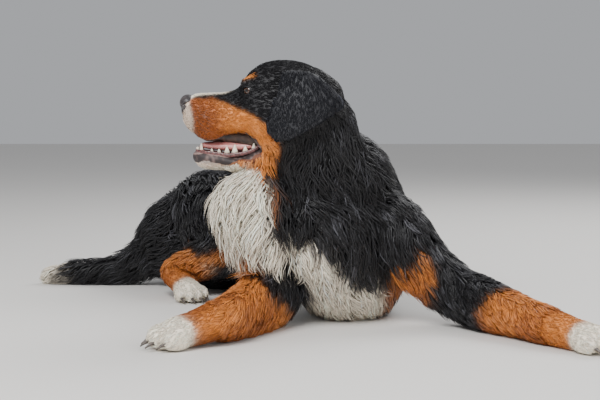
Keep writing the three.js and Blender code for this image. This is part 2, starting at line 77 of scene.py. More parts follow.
class Form:
    """A round form swept through stations, the head's forms in the head's own frame."""

    def __init__(self, name, stations, up=(0, 0, 1), along=(1, 1, 1), head=False):
        full = [list(s) + [0, 0, 1][len(s) - 4:] if len(s) < 7 else list(s) for s in stations]
        self.name = name
        self.places = [s[0] for s in full]
        self.sizes = [s[1:4] for s in full]
        self.trims = [s[4:7] for s in full]
        self.up = np.array(up, float)
        self.along = np.array(along, float)
        self.head = head

    def frame(self, t):
        place, slope = through(self.places, t)
        ahead = unit(slope * self.along)
        side = unit(np.cross(self.up, ahead))
        rise = np.cross(ahead, side)
        size = np.maximum(through(self.sizes, t)[0], 2)
        trim = through(self.trims, t)[0]
        return place, ahead, side, rise, size, trim

    def shell(self, share=SKIN_SHARE, lift=0.0, sides=40, rings=60):
        t = np.linspace(0, 1, rings)
        place, _, side, rise, size, trim = self.frame(t)
        turn = np.linspace(0, 2 * math.pi, sides, endpoint=False)
        bulge = 1 / trim[:, 2:3]
        c = np.sign(np.cos(turn)) * np.abs(np.cos(turn)) ** bulge
        s = np.sign(np.sin(turn)) * np.abs(np.sin(turn)) ** bulge
        grow = np.maximum(trim[:, 0:1], 0) * share + lift
        across = np.maximum(size[:, 0:1] + grow, 2) * c * (1 + trim[:, 1:2] * s)
        reach = np.where(s > 0, size[:, 1:2], size[:, 2:3])
        height = np.maximum(reach + grow, 2) * s
        points = place[:, None] + across[..., None] * side[:, None] + height[..., None] * rise[:, None]
        return points, place

    def mesh(self, **how):
        points, place = self.shell(**how)
        rings, sides = points.shape[:2]
        verts = np.vstack([points.reshape(-1, 3), place[:1], place[-1:]])
        j = np.arange(sides)
        k = (j + 1) % sides
        base = np.arange(rings - 1)[:, None] * sides
        quads = np.stack([base + j, base + k, base + k + sides, base + j + sides], -1).reshape(-1, 4)
        faces = [tuple(q) for q in quads.tolist()]
        first = rings * sides
        end = (rings - 1) * sides
        faces += [(first, int(b), int(a)) for a, b in zip(j, k)]
        faces += [(first + 1, int(end + a), int(end + b)) for a, b in zip(j, k)]
        if self.head:
            verts = head_to_row(verts)
        return piece_from(self.name, verts * MM, faces)


def put(name, data):
    piece = bpy.data.objects.new(name, data)
    bpy.context.scene.collection.objects.link(piece)
    return piece


def piece_from(name, verts, faces):
    data = bpy.data.meshes.new(name)
    data.from_pydata(np.asarray(verts).tolist(), [], faces)
    data.update()
    return put(name, data)


def only(piece):
    bpy.ops.object.select_all(action="DESELECT")
    piece.select_set(True)
    bpy.context.view_layer.objects.active = piece


def join(name, pieces):
    bpy.ops.object.select_all(action="DESELECT")
    for piece in pieces:
        piece.select_set(True)
    bpy.context.view_layer.objects.active = pieces[0]
    bpy.ops.object.join()
    pieces[0].name = name
    pieces[0].data.name = name
    return pieces[0]


def apply(piece, kind, **values):
    only(piece)
    modifier = piece.modifiers.new(kind, kind)
    for key, value in values.items():
        setattr(modifier, key, value)
    bpy.ops.object.modifier_apply(modifier=modifier.name)


def mm(*values):
    return np.array(values, float)


trunk = Form("trunk", [
    [(-146, -214, 202), 18, 18, 18, 16],
    [(-132, -190, 200), 60, 56, 62, 22],
    [(-86, -122, 190), 92, 98, 124, 28, -0.08, 1],
    [(-36, -25, 182), 104, 148, 182, 26, -0.16, 1],
    [(-26, 85, 182), 106, 172, 186, 26, -0.2, 1],
    [(-38, 195, 178), 112, 156, 182, 28, -0.16, 1],
    [(-74, 300, 170), 114, 138, 174, 30, -0.08, 1],
    [(-140, 382, 158), 112, 122, 162, 32],
    [(-230, 425, 148), 108, 108, 152, 34],
    [(-325, 440, 140), 100, 98, 138, 38],
    [(-410, 442, 125), 78, 72, 106, 40],
    [(-468, 442, 108), 46, 40, 62, 36],
    [(-496, 442, 102), 12, 12, 18, 24],
])

# Neck and bib
# The thick neck comes down out of the skull into the chest. The bib is the long white hair
# that hangs from the throat over the breastbone.
AWAY = (0, 1, 0)
neck = Form("neck", [
    [(-103, -168, 448), 40, 44, 44, 8],
    [(-101, -166, 410), 68, 74, 66, 16],
    [(-105, -152, 360), 76, 84, 78, 32],
    [(-104, -122, 310), 92, 96, 90, 38],
    [(-84, -80, 262), 106, 108, 96, 44],
    [(-60, -30, 215), 96, 104, 92, 30],
], up=AWAY)
bib = Form("bib", [
    [(-196, -196, 322), 14, 16, 14, 6],
    [(-206, -200, 296), 34, 30, 24, 12],
    [(-216, -204, 250), 54, 46, 36, 34],
    [(-206, -202, 200), 48, 46, 36, 34],
    [(-186, -190, 150), 34, 36, 30, 28],
    [(-168, -172, 118), 10, 12, 10, 12],
], up=AWAY)


# Forelegs
# Upper arm and forearm of each, feathered at the back. The left one reaches out to the right,
# and the right one comes forward with its paw bent in.
def reach(start, heading, rise, length):
    h = math.radians(heading)
    r = math.radians(rise)
    way = mm(math.cos(h) * math.cos(r), math.sin(h) * math.cos(r), math.sin(r))
    return mm(*start) + way * length


def between(a, b, share):
    return np.asarray(a) + (np.asarray(b) - np.asarray(a)) * share


def limb_form(name, start, end, rows, **how):
    return Form(name, [[between(start, end, row[0]), *row[1:]] for row in rows], **how)


FOREARM = 240
FOREPAW = 150
left_shoulder = mm(48, -96, 186)
left_elbow = mm(188, -142, 60)
left_wrist = reach(left_elbow, -57, -6, FOREARM)
left_toes = reach(left_wrist, -50, -8, FOREPAW)
right_shoulder = mm(-140, -110, 185)
right_elbow = mm(-170, -120, 76)
right_wrist = reach(right_elbow, -114.5, -6.5, FOREARM)
right_toes = reach(right_wrist, -150, -14, FOREPAW)


def upper_arm(name, shoulder, elbow, sag):
    middle = between(shoulder, elbow, 0.5) + mm(0, -6, -sag)
    return Form(name, [
        [shoulder + mm(-6, 60, 26), 22, 22, 22, 8],
        [shoulder, 54, 54, 54, 22],
        [middle, 42, 42, 42, 18],
        [elbow, 37, 37, 37, 14],
        [between(elbow, middle, -0.42), 9, 9, 9, 8],
    ], up=AWAY)


def forearm(name, elbow, wrist, feather):
    return limb_form(name, elbow, wrist, [
        (-0.16, 12, 12, 12, 6),
        (-0.02, 38, 38, 37 + 0.6 * feather, 13),
        (0.3, 39, 38, 38 + feather, 13),
        (0.7, 31, 30, 28 + feather, 10),
        (1.0, 31, 29, 26 + 0.4 * feather, 8),
        (1.12, 14, 13, 13, 5),
    ])


# Paws
# Short-haired feet. Each has a sole and four arched toes side by side, the middle two further
# out than the others. The claws come later, as pieces of their own.
TOES = (-1.5, -0.5, 0.5, 1.5)


def paw_forms(name, ankle, tips, wide, thick):
    ahead = unit(tips - ankle)
    side = unit(np.cross((0, 0, 1), ahead))
    body = limb_form(name, ankle, tips, [
        (0.02, 12, 12, 12),
        (0.08, thick * 1.1, thick, thick),
        (0.4, thick * 1.12, thick * 0.92, thick),
        (0.7, wide * 0.86, thick * 0.92, thick * 0.75),
        (0.84, wide * 0.6, thick * 0.6, thick * 0.5),
        (0.9, wide * 0.3, thick * 0.3, thick * 0.3),
    ])
    toes = []
    for toe in TOES:
        knuckle = between(ankle, tips, 0.82 if abs(toe) < 1 else 0.74) + side * toe * wide * 0.5
        knuckle[2] = max(knuckle[2] - 1, thick * 0.62)
        toes.append((knuckle, (thick * 0.95, wide * 0.28, thick * 0.7), ahead))
    return body, toes


# Hind legs and tail
# Both hind legs are folded beside the rump, the right one towards the camera. The tail lies out
# behind them along the floor, thick with long hair and thin at its tip.
THIGH = 192
SHANK = 188
HIND_FOOT = 155
right_hip = mm(-335, 402, 186)
right_stifle = reach(right_hip, -60, -19, THIGH)
right_hock = reach(right_stifle, 172, -22, SHANK)
right_hind_toes = reach(right_hock, -63, -17, HIND_FOOT)
left_hip = mm(-335, 478, 186)
left_stifle = reach(left_hip, 56, -19, THIGH)
left_hock = reach(left_stifle, 186, -22, SHANK)
left_hind_toes = reach(left_hock, 34, -17, HIND_FOOT)


def thigh(name, hip, stifle):
    return limb_form(name, hip, stifle, [
        (-0.42, 20, 20, 20, 20),
        (-0.25, 62, 50, 74, 34),
        (0.2, 82, 56, 106, 38),
        (0.62, 72, 56, 84, 34),
        (0.95, 46, 46, 50, 22),
        (1.2, 12, 12, 12, 8),
    ])


def shank(name, stifle, hock):
    return limb_form(name, stifle, hock, [
        (-0.14, 12, 12, 12, 4),
        (0.0, 36, 36, 36, 12),
        (0.35, 35, 33, 37, 18),
        (0.75, 22, 22, 25, 18),
        (1.0, 21, 24, 24, 8),
        (1.12, 9, 10, 10, 4),
    ])


tail = Form("tail", [
    [(-440, 446, 120), 14, 14, 14, 8],
    [(-464, 448, 100), 26, 26, 26, 20],
    [(-506, 453, 60), 22, 22, 22, 26],
    [(-566, 460, 36), 18, 17, 18, 26],
    [(-636, 466, 30), 14, 13, 14, 26],
    [(-702, 468, 26), 10, 9, 10, 20],
    [(-744, 469, 18), 4, 4, 4, 8],
])

body_forms = [trunk, neck, bib, tail]
foot_forms = []
toe_balls = []
for name, shoulder, elbow, wrist, tips, sag, feather in (
    ("left", left_shoulder, left_elbow, left_wrist, left_toes, 14, 4),
    ("right", right_shoulder, right_elbow, right_wrist, right_toes, 4, 26),
):
    body_forms.append(upper_arm("upper_arm_" + name, shoulder, elbow, sag))
    body_forms.append(forearm("forearm_" + name, elbow, wrist, feather))
    paw, toes = paw_forms("forepaw_" + name, wrist, tips, 44, 32 if name == "left" else 34)
    foot_forms.append(paw)
    toe_balls += toes
for name, hip, stifle, hock, tips in (
    ("right", right_hip, right_stifle, right_hock, right_hind_toes),
    ("left", left_hip, left_stifle, left_hock, left_hind_toes),
):
    body_forms.append(thigh("thigh_" + name, hip, stifle))
    body_forms.append(shank("shank_" + name, stifle, hock))
    foot, toes = paw_forms("hind_foot_" + name, hock, tips, 38, 26)
    foot_forms.append(foot)
    toe_balls += toes


# Body skin
# One closed surface over trunk, neck, legs, paws and tail, run together and smoothed, and
# pressed flat where the animal lies on the floor.
SKIN_VOXEL = 0.0045
FLOOR_GAP = 0.0005
FOOT_FUR = 2.5


def ball(name, place, sizes, pitch=0, yaw=0, detail=24):
    bpy.ops.mesh.primitive_uv_sphere_add(segments=detail, ring_count=detail // 2, radius=1)
    piece = bpy.context.active_object
    piece.name = name
    size = Matrix.Diagonal(Vector([*[s * MM for s in sizes], 1]))
    turn = Matrix.Rotation(yaw, 4, "Z") @ Matrix.Rotation(pitch, 4, "Y")
    piece.data.transform(Matrix.Translation(Vector([float(v) * MM for v in place])) @ turn @ size)
    return piece


pieces = [form.mesh() for form in body_forms]
pieces += [form.mesh(share=0, lift=-FOOT_FUR) for form in foot_forms]
for knuckle, sizes, ahead in toe_balls:
    heading = math.atan2(ahead[1], ahead[0])
    less = [s - FOOT_FUR for s in sizes]
    pieces.append(ball("toe", knuckle, less, yaw=heading, detail=16))
body_skin = join("body_skin", pieces)
apply(body_skin, "REMESH", mode="VOXEL", voxel_size=SKIN_VOXEL)
apply(body_skin, "SMOOTH", factor=0.5, iterations=7)


def fetch(source, field, wide, kind=np.float32):
    values = np.empty(len(source) * wide, kind)
    source.foreach_get(field, values)
    return values.reshape(-1, wide)


def coords(piece):
    return fetch(piece.data.vertices, "co", 3).astype(float)


def set_coords(piece, values):
    piece.data.vertices.foreach_set("co", np.asarray(values, np.float32).ravel())
    piece.data.update()


spots = coords(body_skin)
spots[:, 2] = np.maximum(spots[:, 2], FLOOR_GAP)
set_coords(body_skin, spots)

# Head
# Skull, muzzle, brows, cheeks, lips, jaw and ears in the head's own frame: +X to the nose,
# +Y to the dog's left, +Z up, from the middle of the skull.
HEAD_AT = mm(-149, -180, 431)
MIRROR = mm(-1, -1, 1)


def head_to_row(points):
    return HEAD_AT + np.asarray(points) * MIRROR


def row_to_head(points):
    return (np.asarray(points) - HEAD_AT) * MIRROR


def head_form(name, rows):
    stations = [[(x, 0, z), *sizes] for x, z, *sizes in rows]
    return Form(name, stations, along=(1, 0, 0), head=True)


skull = head_form("skull", [
    (-100, -4, 14, 14, 20),
    (-90, -4, 44, 42, 48),
    (-62, -2, 66, 62, 74, 0, -0.05, 1.05),
    (-25, 0, 76, 79, 88, 0, -0.12, 1.08),
    (15, 0, 77, 84, 94, 0, -0.18, 1.08),
    (48, -2, 74, 81, 92, 0, -0.26, 1.06),
    (74, -8, 64, 71, 54, 0, -0.33, 1.05),
    (90, -14, 54, 54, 42, 0, -0.32, 1.08),
    (104, -18, 48, 46, 38, 0, -0.28, 1.12),
    (126, -19, 46, 42, 42, 0, -0.28, 1.15),
    (150, -20, 46, 42, 47, 0, -0.26, 1.15),
    (170, -20, 42, 41, 45, 0, -0.22, 1.1),
    (184, -19, 36, 38, 33, 0, -0.15, 1.05),
    (194, -18, 28, 34, 25),
    (200, -18, 17, 25, 16),
    (203, -18, 6, 9, 6),
])
mouth_space = head_form("mouth_space", [
    (52, -80, 22, 6, 10),
    (64, -80, 46, 12, 26),
    (90, -86, 42, 44, 50),
    (126, -90, 35, 48, 50),
    (160, -94, 29, 50, 44),
    (176, -98, 16, 40, 36),
    (181, -100, 6, 20, 20),
])
lower_jaw = head_form("lower_jaw", [
    (14, -92, 30, 12, 12),
    (36, -98, 46, 20, 22),
    (62, -101, 46, 21, 21),
    (90, -108, 42, 14, 15),
    (108, -108, 39, 14, 15),
    (132, -104, 34, 18, 16),
    (158, -102, 28, 17, 17),
    (176, -99, 19, 14, 14),
    (185, -97, 6, 5, 6),
])
jaw_trough = head_form("jaw_trough", [
    (50, -80, 10, 4, 6),
    (66, -80, 34, 14, 12),
    (100, -88, 30, 20, 9),
    (140, -84, 24, 20, 8),
    (166, -82, 16, 16, 6),
    (174, -82, 5, 6, 3),
])
EAR_CURL = 0.003
EAR_MIDDLE = -25


def ear_form(side):
    name = "ear_left" if side > 0 else "ear_right"
    return Form(name, [
        [(-14, side * 38, 61), 22, 7, 7],
        [(-14, side * 60, 59.5), 28, 8, 7],
        [(-22, side * 79, 48), 41, 7, 6],
        [(-33, side * 91, 22), 58, 6, 6],
        [(-35, side * 96, 0), 66, 6, 6],
        [(-13, side * 98, -27), 55, 5, 5],
        [(4, side * 98, -48), 37, 5, 5],
        [(12, side * 97, -64), 14, 3, 3],
    ], up=(0, side, 0), along=(0, 1, 1), head=True)


def make_ear(side):
    flap = ear_form(side).mesh(lift=-1.2)
    spots = row_to_head(coords(flap) / MM)
    spots[:, 1] -= side * EAR_CURL * (spots[:, 0] - EAR_MIDDLE) ** 2
    set_coords(flap, head_to_row(spots) * MM)
    return flap


def head_ball(name, place, sizes, pitch=0, yaw=0, detail=32):
    return ball(name, head_to_row(place), sizes, pitch, math.pi + yaw, detail)


def cut(piece, tool):
    apply(piece, "BOOLEAN", operation="DIFFERENCE", solver="EXACT", object=tool)
    bpy.data.objects.remove(tool)


HEAD_VOXEL = 0.0021
EYE_RADIUS = 12.5
EYE_TURN = 0.75
SOCKET_GAP = 0.4
OPENING_AHEAD = 15


def eye_place(side):
    return mm(74, side * 33, 27)


upper = [skull.mesh(sides=64, rings=120)]
for side in (-1, 1):
    upper.append(head_ball("brow", (77, side * 29, 43), (17, 13, 10), 0.3, side * 0.3))
    upper.append(head_ball("cheek", (14, side * 40, -57), (52, 37, 42)))
    upper.append(head_ball("flew", (149, side * 25, -41), (28, 22, 28.5)))
    upper.append(head_ball("lid", eye_place(side), (15.6, 15.6, 14.4), yaw=side * EYE_TURN))
upper = join("upper_head", upper)
apply(upper, "REMESH", mode="VOXEL", voxel_size=HEAD_VOXEL)
apply(upper, "SMOOTH", factor=0.5, iterations=6)
cut(upper, mouth_space.mesh(sides=40, rings=50))
for side in (-1, 1):
    cut(upper, head_ball("socket", eye_place(side), [EYE_RADIUS + SOCKET_GAP] * 3))
    look = EYE_TURN * side
    way = mm(math.cos(look), math.sin(look), 0.02)
    place = eye_place(side) + way * OPENING_AHEAD
    cut(upper, head_ball("opening", place, (12, 11.2, 5.8), yaw=look))
jaw = lower_jaw.mesh(sides=48, rings=80)
cut(jaw, jaw_trough.mesh(sides=32, rings=40))
throat = head_form("throat", [
    (-70, -60, 30, 30, 30),
    (-20, -78, 52, 40, 40),
    (30, -92, 48, 32, 30),
    (52, -98, 36, 20, 22),
    (60, -100, 12, 8, 8),
])
head_skin = join("head_skin", [upper, jaw, throat.mesh(), make_ear(1), make_ear(-1)])
apply(head_skin, "REMESH", mode="VOXEL", voxel_size=HEAD_VOXEL)
apply(head_skin, "SMOOTH", factor=0.5, iterations=3)

# Nose leather
# Bare, black, cobbled skin at the end of the muzzle, slightly wet, with two nostrils that run
# out into slits at the side and a groove down the middle.
def material(name, base, roughness, sockets=None):
    stuff = bpy.data.materials.new(name)
    stuff.use_nodes = True
    shader = stuff.node_tree.nodes["Principled BSDF"]
    shader.inputs["Base Color"].default_value = (*base, 1)
    shader.inputs["Roughness"].default_value = roughness
    for socket, value in (sockets or {}).items():
        shader.inputs[socket].default_value = value
    return stuff, shader


def grain_group():
    """One noise that tints a surface from Low to High and dents it."""
    group = bpy.data.node_groups.new("grain", "ShaderNodeTree")
    for name in ("Scale", "Detail", "Strength", "Distance"):
        group.interface.new_socket(name, in_out="INPUT", socket_type="NodeSocketFloat")
    for name in ("Low", "High"):
        group.interface.new_socket(name, in_out="INPUT", socket_type="NodeSocketColor")
    group.interface.new_socket("Color", in_out="OUTPUT", socket_type="NodeSocketColor")
    group.interface.new_socket("Normal", in_out="OUTPUT", socket_type="NodeSocketVector")
    into, out, spot, noise, bump, share, mix = [group.nodes.new(kind) for kind in (
        "NodeGroupInput", "NodeGroupOutput", "ShaderNodeTexCoord", "ShaderNodeTexNoise",
        "ShaderNodeBump", "ShaderNodeMapRange", "ShaderNodeMix")]
    share.inputs["From Min"].default_value = 0.35
    share.inputs["From Max"].default_value = 0.7
    mix.data_type = "RGBA"
    low, high, mixed = mix.inputs[6], mix.inputs[7], mix.outputs[2]
    for source, target in (
        (spot.outputs["Object"], noise.inputs["Vector"]),
        (noise.outputs["Fac"], bump.inputs["Height"]),
        (bump.outputs["Normal"], out.inputs["Normal"]),
        (noise.outputs["Fac"], share.inputs["Value"]),
        (share.outputs["Result"], mix.inputs["Factor"]),
        (into.outputs["Low"], low),
        (into.outputs["High"], high),
        (mixed, out.inputs["Color"]),
    ):
        group.links.new(source, target)
    for name, node in (("Scale", noise), ("Detail", noise), ("Strength", bump), ("Distance", bump)):
        group.links.new(into.outputs[name], node.inputs[name])
    return group


GRAIN = grain_group()


def add_grain(stuff, shader, scale, strength=0, distance=0, detail=4, tones=()):
    """Lays the grain on a material: its dents where it has a strength, its tint where it has tones."""
    links = stuff.node_tree.links
    node = stuff.node_tree.nodes.new("ShaderNodeGroup")
    node.node_tree = GRAIN
    for name, value in zip(("Scale", "Detail", "Strength", "Distance"),
                           (scale, detail, strength, distance)):
        node.inputs[name].default_value = value
    if strength:
        links.new(node.outputs["Normal"], shader.inputs["Normal"])
    if tones:
        node.inputs["Low"].default_value = (*tones[0], 1)
        node.inputs["High"].default_value = (*tones[1], 1)
        links.new(node.outputs["Color"], shader.inputs["Base Color"])


def dress(piece, stuff):
    only(piece)
    bpy.ops.object.shade_smooth()
    piece.data.materials.append(stuff)


leather, shader = material("nose_leather", (0.02, 0.018, 0.02), 0.46,
                           {"Coat Weight": 0.12, "Coat Roughness": 0.3})
add_grain(leather, shader, 60, detail=2, tones=((0.024, 0.02, 0.021), (0.075, 0.06, 0.06)))
tree = leather.node_tree
spot, cobbles, bump = [tree.nodes.new(kind) for kind in (
    "ShaderNodeTexCoord", "ShaderNodeTexVoronoi", "ShaderNodeBump")]
cobbles.inputs["Scale"].default_value = 620
bump.inputs["Strength"].default_value = 0.35
bump.inputs["Distance"].default_value = 0.0006
tree.links.new(spot.outputs["Object"], cobbles.inputs["Vector"])
tree.links.new(cobbles.outputs["Distance"], bump.inputs["Height"])
tree.links.new(bump.outputs["Normal"], shader.inputs["Normal"])

nose = join("nose_leather", [
    head_ball("nose", (194, 0, 4), (16, 23, 16.5), 0.1),
    head_ball("nose", (199, 0, -9), (8, 11, 13)),
    head_ball("nose", (190, 13, 0), (15, 11, 13)),
    head_ball("nose", (190, -13, 0), (15, 11, 13)),
])
apply(nose, "REMESH", mode="VOXEL", voxel_size=0.0012)
for side in (-1, 1):
    cut(nose, head_ball("nostril", (209, side * 12, 4.5), (12, 5.2, 6.2), yaw=side * 0.5))
    cut(nose, head_ball("slit", (201, side * 22.5, 0.5), (14, 5.5, 3.2), 0.35, side * 0.2))
cut(nose, head_ball("groove", (213, 0, -14), (7, 1.0, 16)))
apply(nose, "REMESH", mode="VOXEL", voxel_size=0.0009)
apply(nose, "SMOOTH", factor=0.5, iterations=4)
dress(nose, leather)
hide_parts("nose")
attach(nose, "root")

# Tongue
# Soft pink flesh, wet and finely rough, lying in the lower jaw with a shallow furrow along
# its middle.
flesh, shader = material("tongue_flesh", (0.6, 0.22, 0.2), 0.32, {
    "Coat Weight": 0.25, "Subsurface Weight": 0.15, "Subsurface Scale": 0.004})
add_grain(flesh, shader, 900, 0.4, 0.0004, tones=((0.5, 0.16, 0.15), (0.72, 0.32, 0.29)))
FURROW_DEEP = 3.0
FURROW_WIDE = 4.5
tongue = head_form("tongue", [
    (56, -78, 10, 4, 4),
    (68, -78, 24, 14, 8),
    (96, -80, 25, 15, 9),
    (126, -79, 24, 12, 8),
    (152, -77, 20, 8, 7),
    (166, -76, 12, 6, 5),
    (172, -77, 4, 3, 3),
]).mesh(sides=40, rings=60)
spots = row_to_head(coords(tongue) / MM)
spots[:, 2] -= FURROW_DEEP * np.exp(-(spots[:, 1] / FURROW_WIDE) ** 2) * (spots[:, 2] > -80)
set_coords(tongue, head_to_row(spots) * MM)
dress(tongue, flesh)
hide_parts("tongue")
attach(tongue, "root")

# Gums and mouth lining
# Thin, wet, mottled flesh along the lower teeth, and the dark walls of the mouth that close
# the view between the jaws. The walls are coloured near black: painted shade inside the mouth.
gum_flesh, shader = material("gum_flesh", (0.4, 0.16, 0.14), 0.35, {"Coat Weight": 0.3})
add_grain(gum_flesh, shader, 260, 0.4, 0.0006, tones=((0.035, 0.015, 0.015), (0.24, 0.085, 0.08)))
gums = []
for side in (-1, 1):
    gums.append(Form("gum", [
        [(58, side * 31, -76), 2.5, 2.5, 4],
        [(70, side * 33, -84), 2.5, 2.5, 5],
        [(90, side * 33, -90), 2.5, 2.5, 5],
        [(117, side * 30, -93), 2.5, 2.5, 5],
        [(150, side * 23, -89), 2.5, 2.5, 5],
        [(168, side * 16, -87), 2.5, 2.5, 5],
        [(176, side * 8, -86), 2.5, 2.5, 5],
        [(178, side * 0.5, -86), 2.5, 2.5, 5],
    ], head=True).mesh(sides=16, rings=60))
gums = join("gums", gums)
dress(gums, gum_flesh)
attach(gums, "root")

# Painted shade: the mouth's walls are near black, standing for the shade between the jaws
lining_shade_flesh, shader = material("mouth_lining", (0.05, 0.02, 0.018), 0.4)
add_grain(lining_shade_flesh, shader, 90, 0.6, 0.002, tones=((0.012, 0.004, 0.004), (0.09, 0.045, 0.028)))
lining = head_form("lining", [
    (40, -70, 30, 26, 24),
    (62, -66, 30, 24, 24),
    (84, -62, 28, 22, 24),
    (110, -58, 25, 18, 20),
    (136, -55, 20, 14, 17),
    (154, -53, 14, 12, 14),
    (166, -52, 6, 6, 8),
]).mesh(sides=40, rings=40)
dress(lining, lining_shade_flesh)
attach(lining, "root")

# Teeth
# Ivory pegs of enamel, each rooted in the gum: place, length and thickness, a negative length
# pointing down. The long ones in front are the canines.
ivory, shader = material("tooth_enamel", (0.8, 0.74, 0.62), 0.25)
add_grain(ivory, shader, 120, 0.1, 0.0003, tones=((0.72, 0.62, 0.46), (0.86, 0.81, 0.7)))
TOOTH_TIP = 0.9
TOOTH_ROOT = 4
TOOTH_FLAT = 0.55
LOWER_TEETH = [
    (168, 14, -84, 13, 8), (148, 20, -86, 5, 8), (134, 23, -87, 5, 9),
    (119, 26, -87, 10, 12), (104, 28, -87, 14, 14), (84, 29, -84, 8, 12), (68, 29, -79, 8, 10),
    (175, 8, -84, 5, 5), (177, 3, -84, 5, 5),
]
UPPER_TEETH = [(171, 15, -44, -20, 9), (120, 27, -42, -12, 13), (100, 27, -36, -10, 16)]


def cone(thick, tip, tall, cuts):
    bpy.ops.mesh.primitive_cone_add(vertices=16, radius1=thick / 2 * MM, radius2=tip * MM,
                                    depth=tall * MM)
    bpy.ops.object.mode_set(mode="EDIT")
    bpy.ops.mesh.subdivide(number_cuts=cuts)
    bpy.ops.object.mode_set(mode="OBJECT")
    return bpy.context.active_object


teeth = []
for x, y, z, length, thick in LOWER_TEETH + UPPER_TEETH:
    for side in (-1, 1):
        tall = abs(length) + TOOTH_ROOT
        tooth = cone(thick, TOOTH_TIP, tall, 2)
        if length < 0:
            tooth.data.transform(Matrix.Rotation(math.pi, 4, "X"))
        tooth.data.transform(Matrix.Diagonal(Vector((1, TOOTH_FLAT, 1, 1))))
        middle = z + length - math.copysign(tall, length) / 2
        tooth.data.transform(Matrix.Translation(Vector(head_to_row((x, side * y, middle)) * MM)))
        teeth.append(tooth)
teeth = join("teeth", teeth)
apply(teeth, "SMOOTH", factor=0.5, iterations=2)
dress(teeth, ivory)
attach(teeth, "root")

# Eyes
# Glossy eyeballs set in their lids: a dark brown iris, lighter towards the pupil, with a black
# rim. The rings are angles from the line of sight, and their colours lie on the vertices.
IRIS = 0.62
PUPIL = 0.27
RIM = 0.07
GAZE = 0.95
BROWN = np.array([0.05, 0.019, 0.008])
WHITE_OF_EYE = np.array([0.13, 0.085, 0.07])
PUPIL_BLACK = np.array([0.003, 0.003, 0.003])
RIM_BLACK = np.array([0.015, 0.008, 0.005])


def painted(piece, colours):
    layer = piece.data.color_attributes.new("Paint", "FLOAT_COLOR", "POINT")
    full = np.hstack([colours, np.ones((len(colours), 1))]).astype(np.float32)
    layer.data.foreach_set("color", full.ravel())


def show_paint(stuff, shader):
    paint = stuff.node_tree.nodes.new("ShaderNodeAttribute")
    paint.attribute_name = "Paint"
    stuff.node_tree.links.new(paint.outputs["Color"], shader.inputs["Base Color"])


cornea, shader = material("eye_glass", (0.05, 0.02, 0.01), 0.05,
                          {"Coat Weight": 1.0, "Coat Roughness": 0.02})
show_paint(cornea, shader)
for side in (-1, 1):
    name = "eyeball_left" if side > 0 else "eyeball_right"
    eye = head_ball(name, eye_place(side), [EYE_RADIUS] * 3, detail=96)
    gaze = unit(mm(math.cos(side * GAZE), math.sin(side * GAZE), 0.02) * MIRROR)
    away = unit(coords(eye) - head_to_row(eye_place(side)) * MM) @ gaze
    angle = np.arccos(np.clip(away, -1, 1))[:, None]
    shade = np.where(angle < IRIS, BROWN * (1.4 - 0.8 * angle / IRIS), WHITE_OF_EYE)
    shade = np.where(angle < PUPIL, PUPIL_BLACK, shade)
    painted(eye, np.where(np.abs(angle - IRIS) < RIM, RIM_BLACK, shade))
    dress(eye, cornea)
    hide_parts("eye_left" if side > 0 else "eye_right")
    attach(eye, "root")

# Claws
# Blunt, dark horn, one to a toe, coming out of the fur and turned down to the floor.
# Each is a slightly bent cone, set at the front of its toe.
horn, shader = material("claw_horn", (0.05, 0.04, 0.035), 0.35)
add_grain(horn, shader, 300, 0.3, 0.0003, tones=((0.03, 0.025, 0.022), (0.14, 0.11, 0.09)))
CLAW_THICK = 8.8
CLAW_TIP = 1.2
CLAW_LONG = 20
CLAW_BEND = 0.012
claws = []
for knuckle, sizes, ahead in toe_balls:
    claw = cone(CLAW_THICK, CLAW_TIP, CLAW_LONG, 3)
    spots = coords(claw)
    spots[:, 0] += CLAW_BEND * MM * (spots[:, 2] / MM + CLAW_LONG / 2) ** 2
    set_coords(claw, spots)
    claw.data.transform(Matrix.Rotation(math.pi / 2 + 0.2, 4, "Y"))
    claw.data.transform(Matrix.Rotation(math.atan2(ahead[1], ahead[0]), 4, "Z"))
    root = knuckle + ahead * sizes[0] * 0.98
    root[2] = max(sizes[2] * 0.62, 6)
    claw.data.transform(Matrix.Translation(Vector(root * MM)))
    claws.append(claw)
claws = join("claws", claws)
dress(claws, horn)
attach(claws, "root")


# Skin
# Head and body are one skin, short-haired to look at. The length, lie and colour of its coat are
# worked out at each point, and its colours lie on the vertices. Points inside the other are bald.
def inside(points, piece):
    tree = BVHTree.FromObject(piece, bpy.context.evaluated_depsgraph_get())
    hidden = np.zeros(len(points), bool)
    for i, p in enumerate(points):
        spot, normal, _, _ = tree.find_nearest(Vector(p))
        hidden[i] = (Vector(p) - spot).dot(normal) < -0.001
    return hidden


bpy.context.view_layer.update()
near = coords(head_skin)
hidden_head = np.zeros(len(near), bool)
low_back = row_to_head(near / MM)
maybe = (low_back[:, 0] < 80) & (low_back[:, 2] < 30)
hidden_head[maybe] = inside(near[maybe], body_skin)
far = coords(body_skin)
hidden_body = np.zeros(len(far), bool)
maybe = far[:, 2] > 0.28
hidden_body[maybe] = inside(far[maybe], head_skin)
head_count = len(near)
skin = join("skin", [head_skin, body_skin])
buried = np.concatenate([hidden_head, hidden_body])
only(skin)
bpy.ops.object.mode_set(mode="EDIT")
bpy.ops.mesh.select_all(action="SELECT")
bpy.ops.uv.smart_project(angle_limit=math.radians(66), island_margin=0.002)
bpy.ops.object.mode_set(mode="OBJECT")
skin.data.uv_layers[0].name = "OFBake"

SEEDS = np.random.default_rng(11).normal(size=(4, 6, 3))


def waves(points, size, layer=0):
    total = 0
    for k, way in enumerate(SEEDS[layer]):
        total = total + np.sin(points @ (way / size) + 1.7 * k + layer)
    return total / 3.2


def soft(value, width):
    return 1 / (1 + np.exp(-np.clip(value / width, -40, 40)))


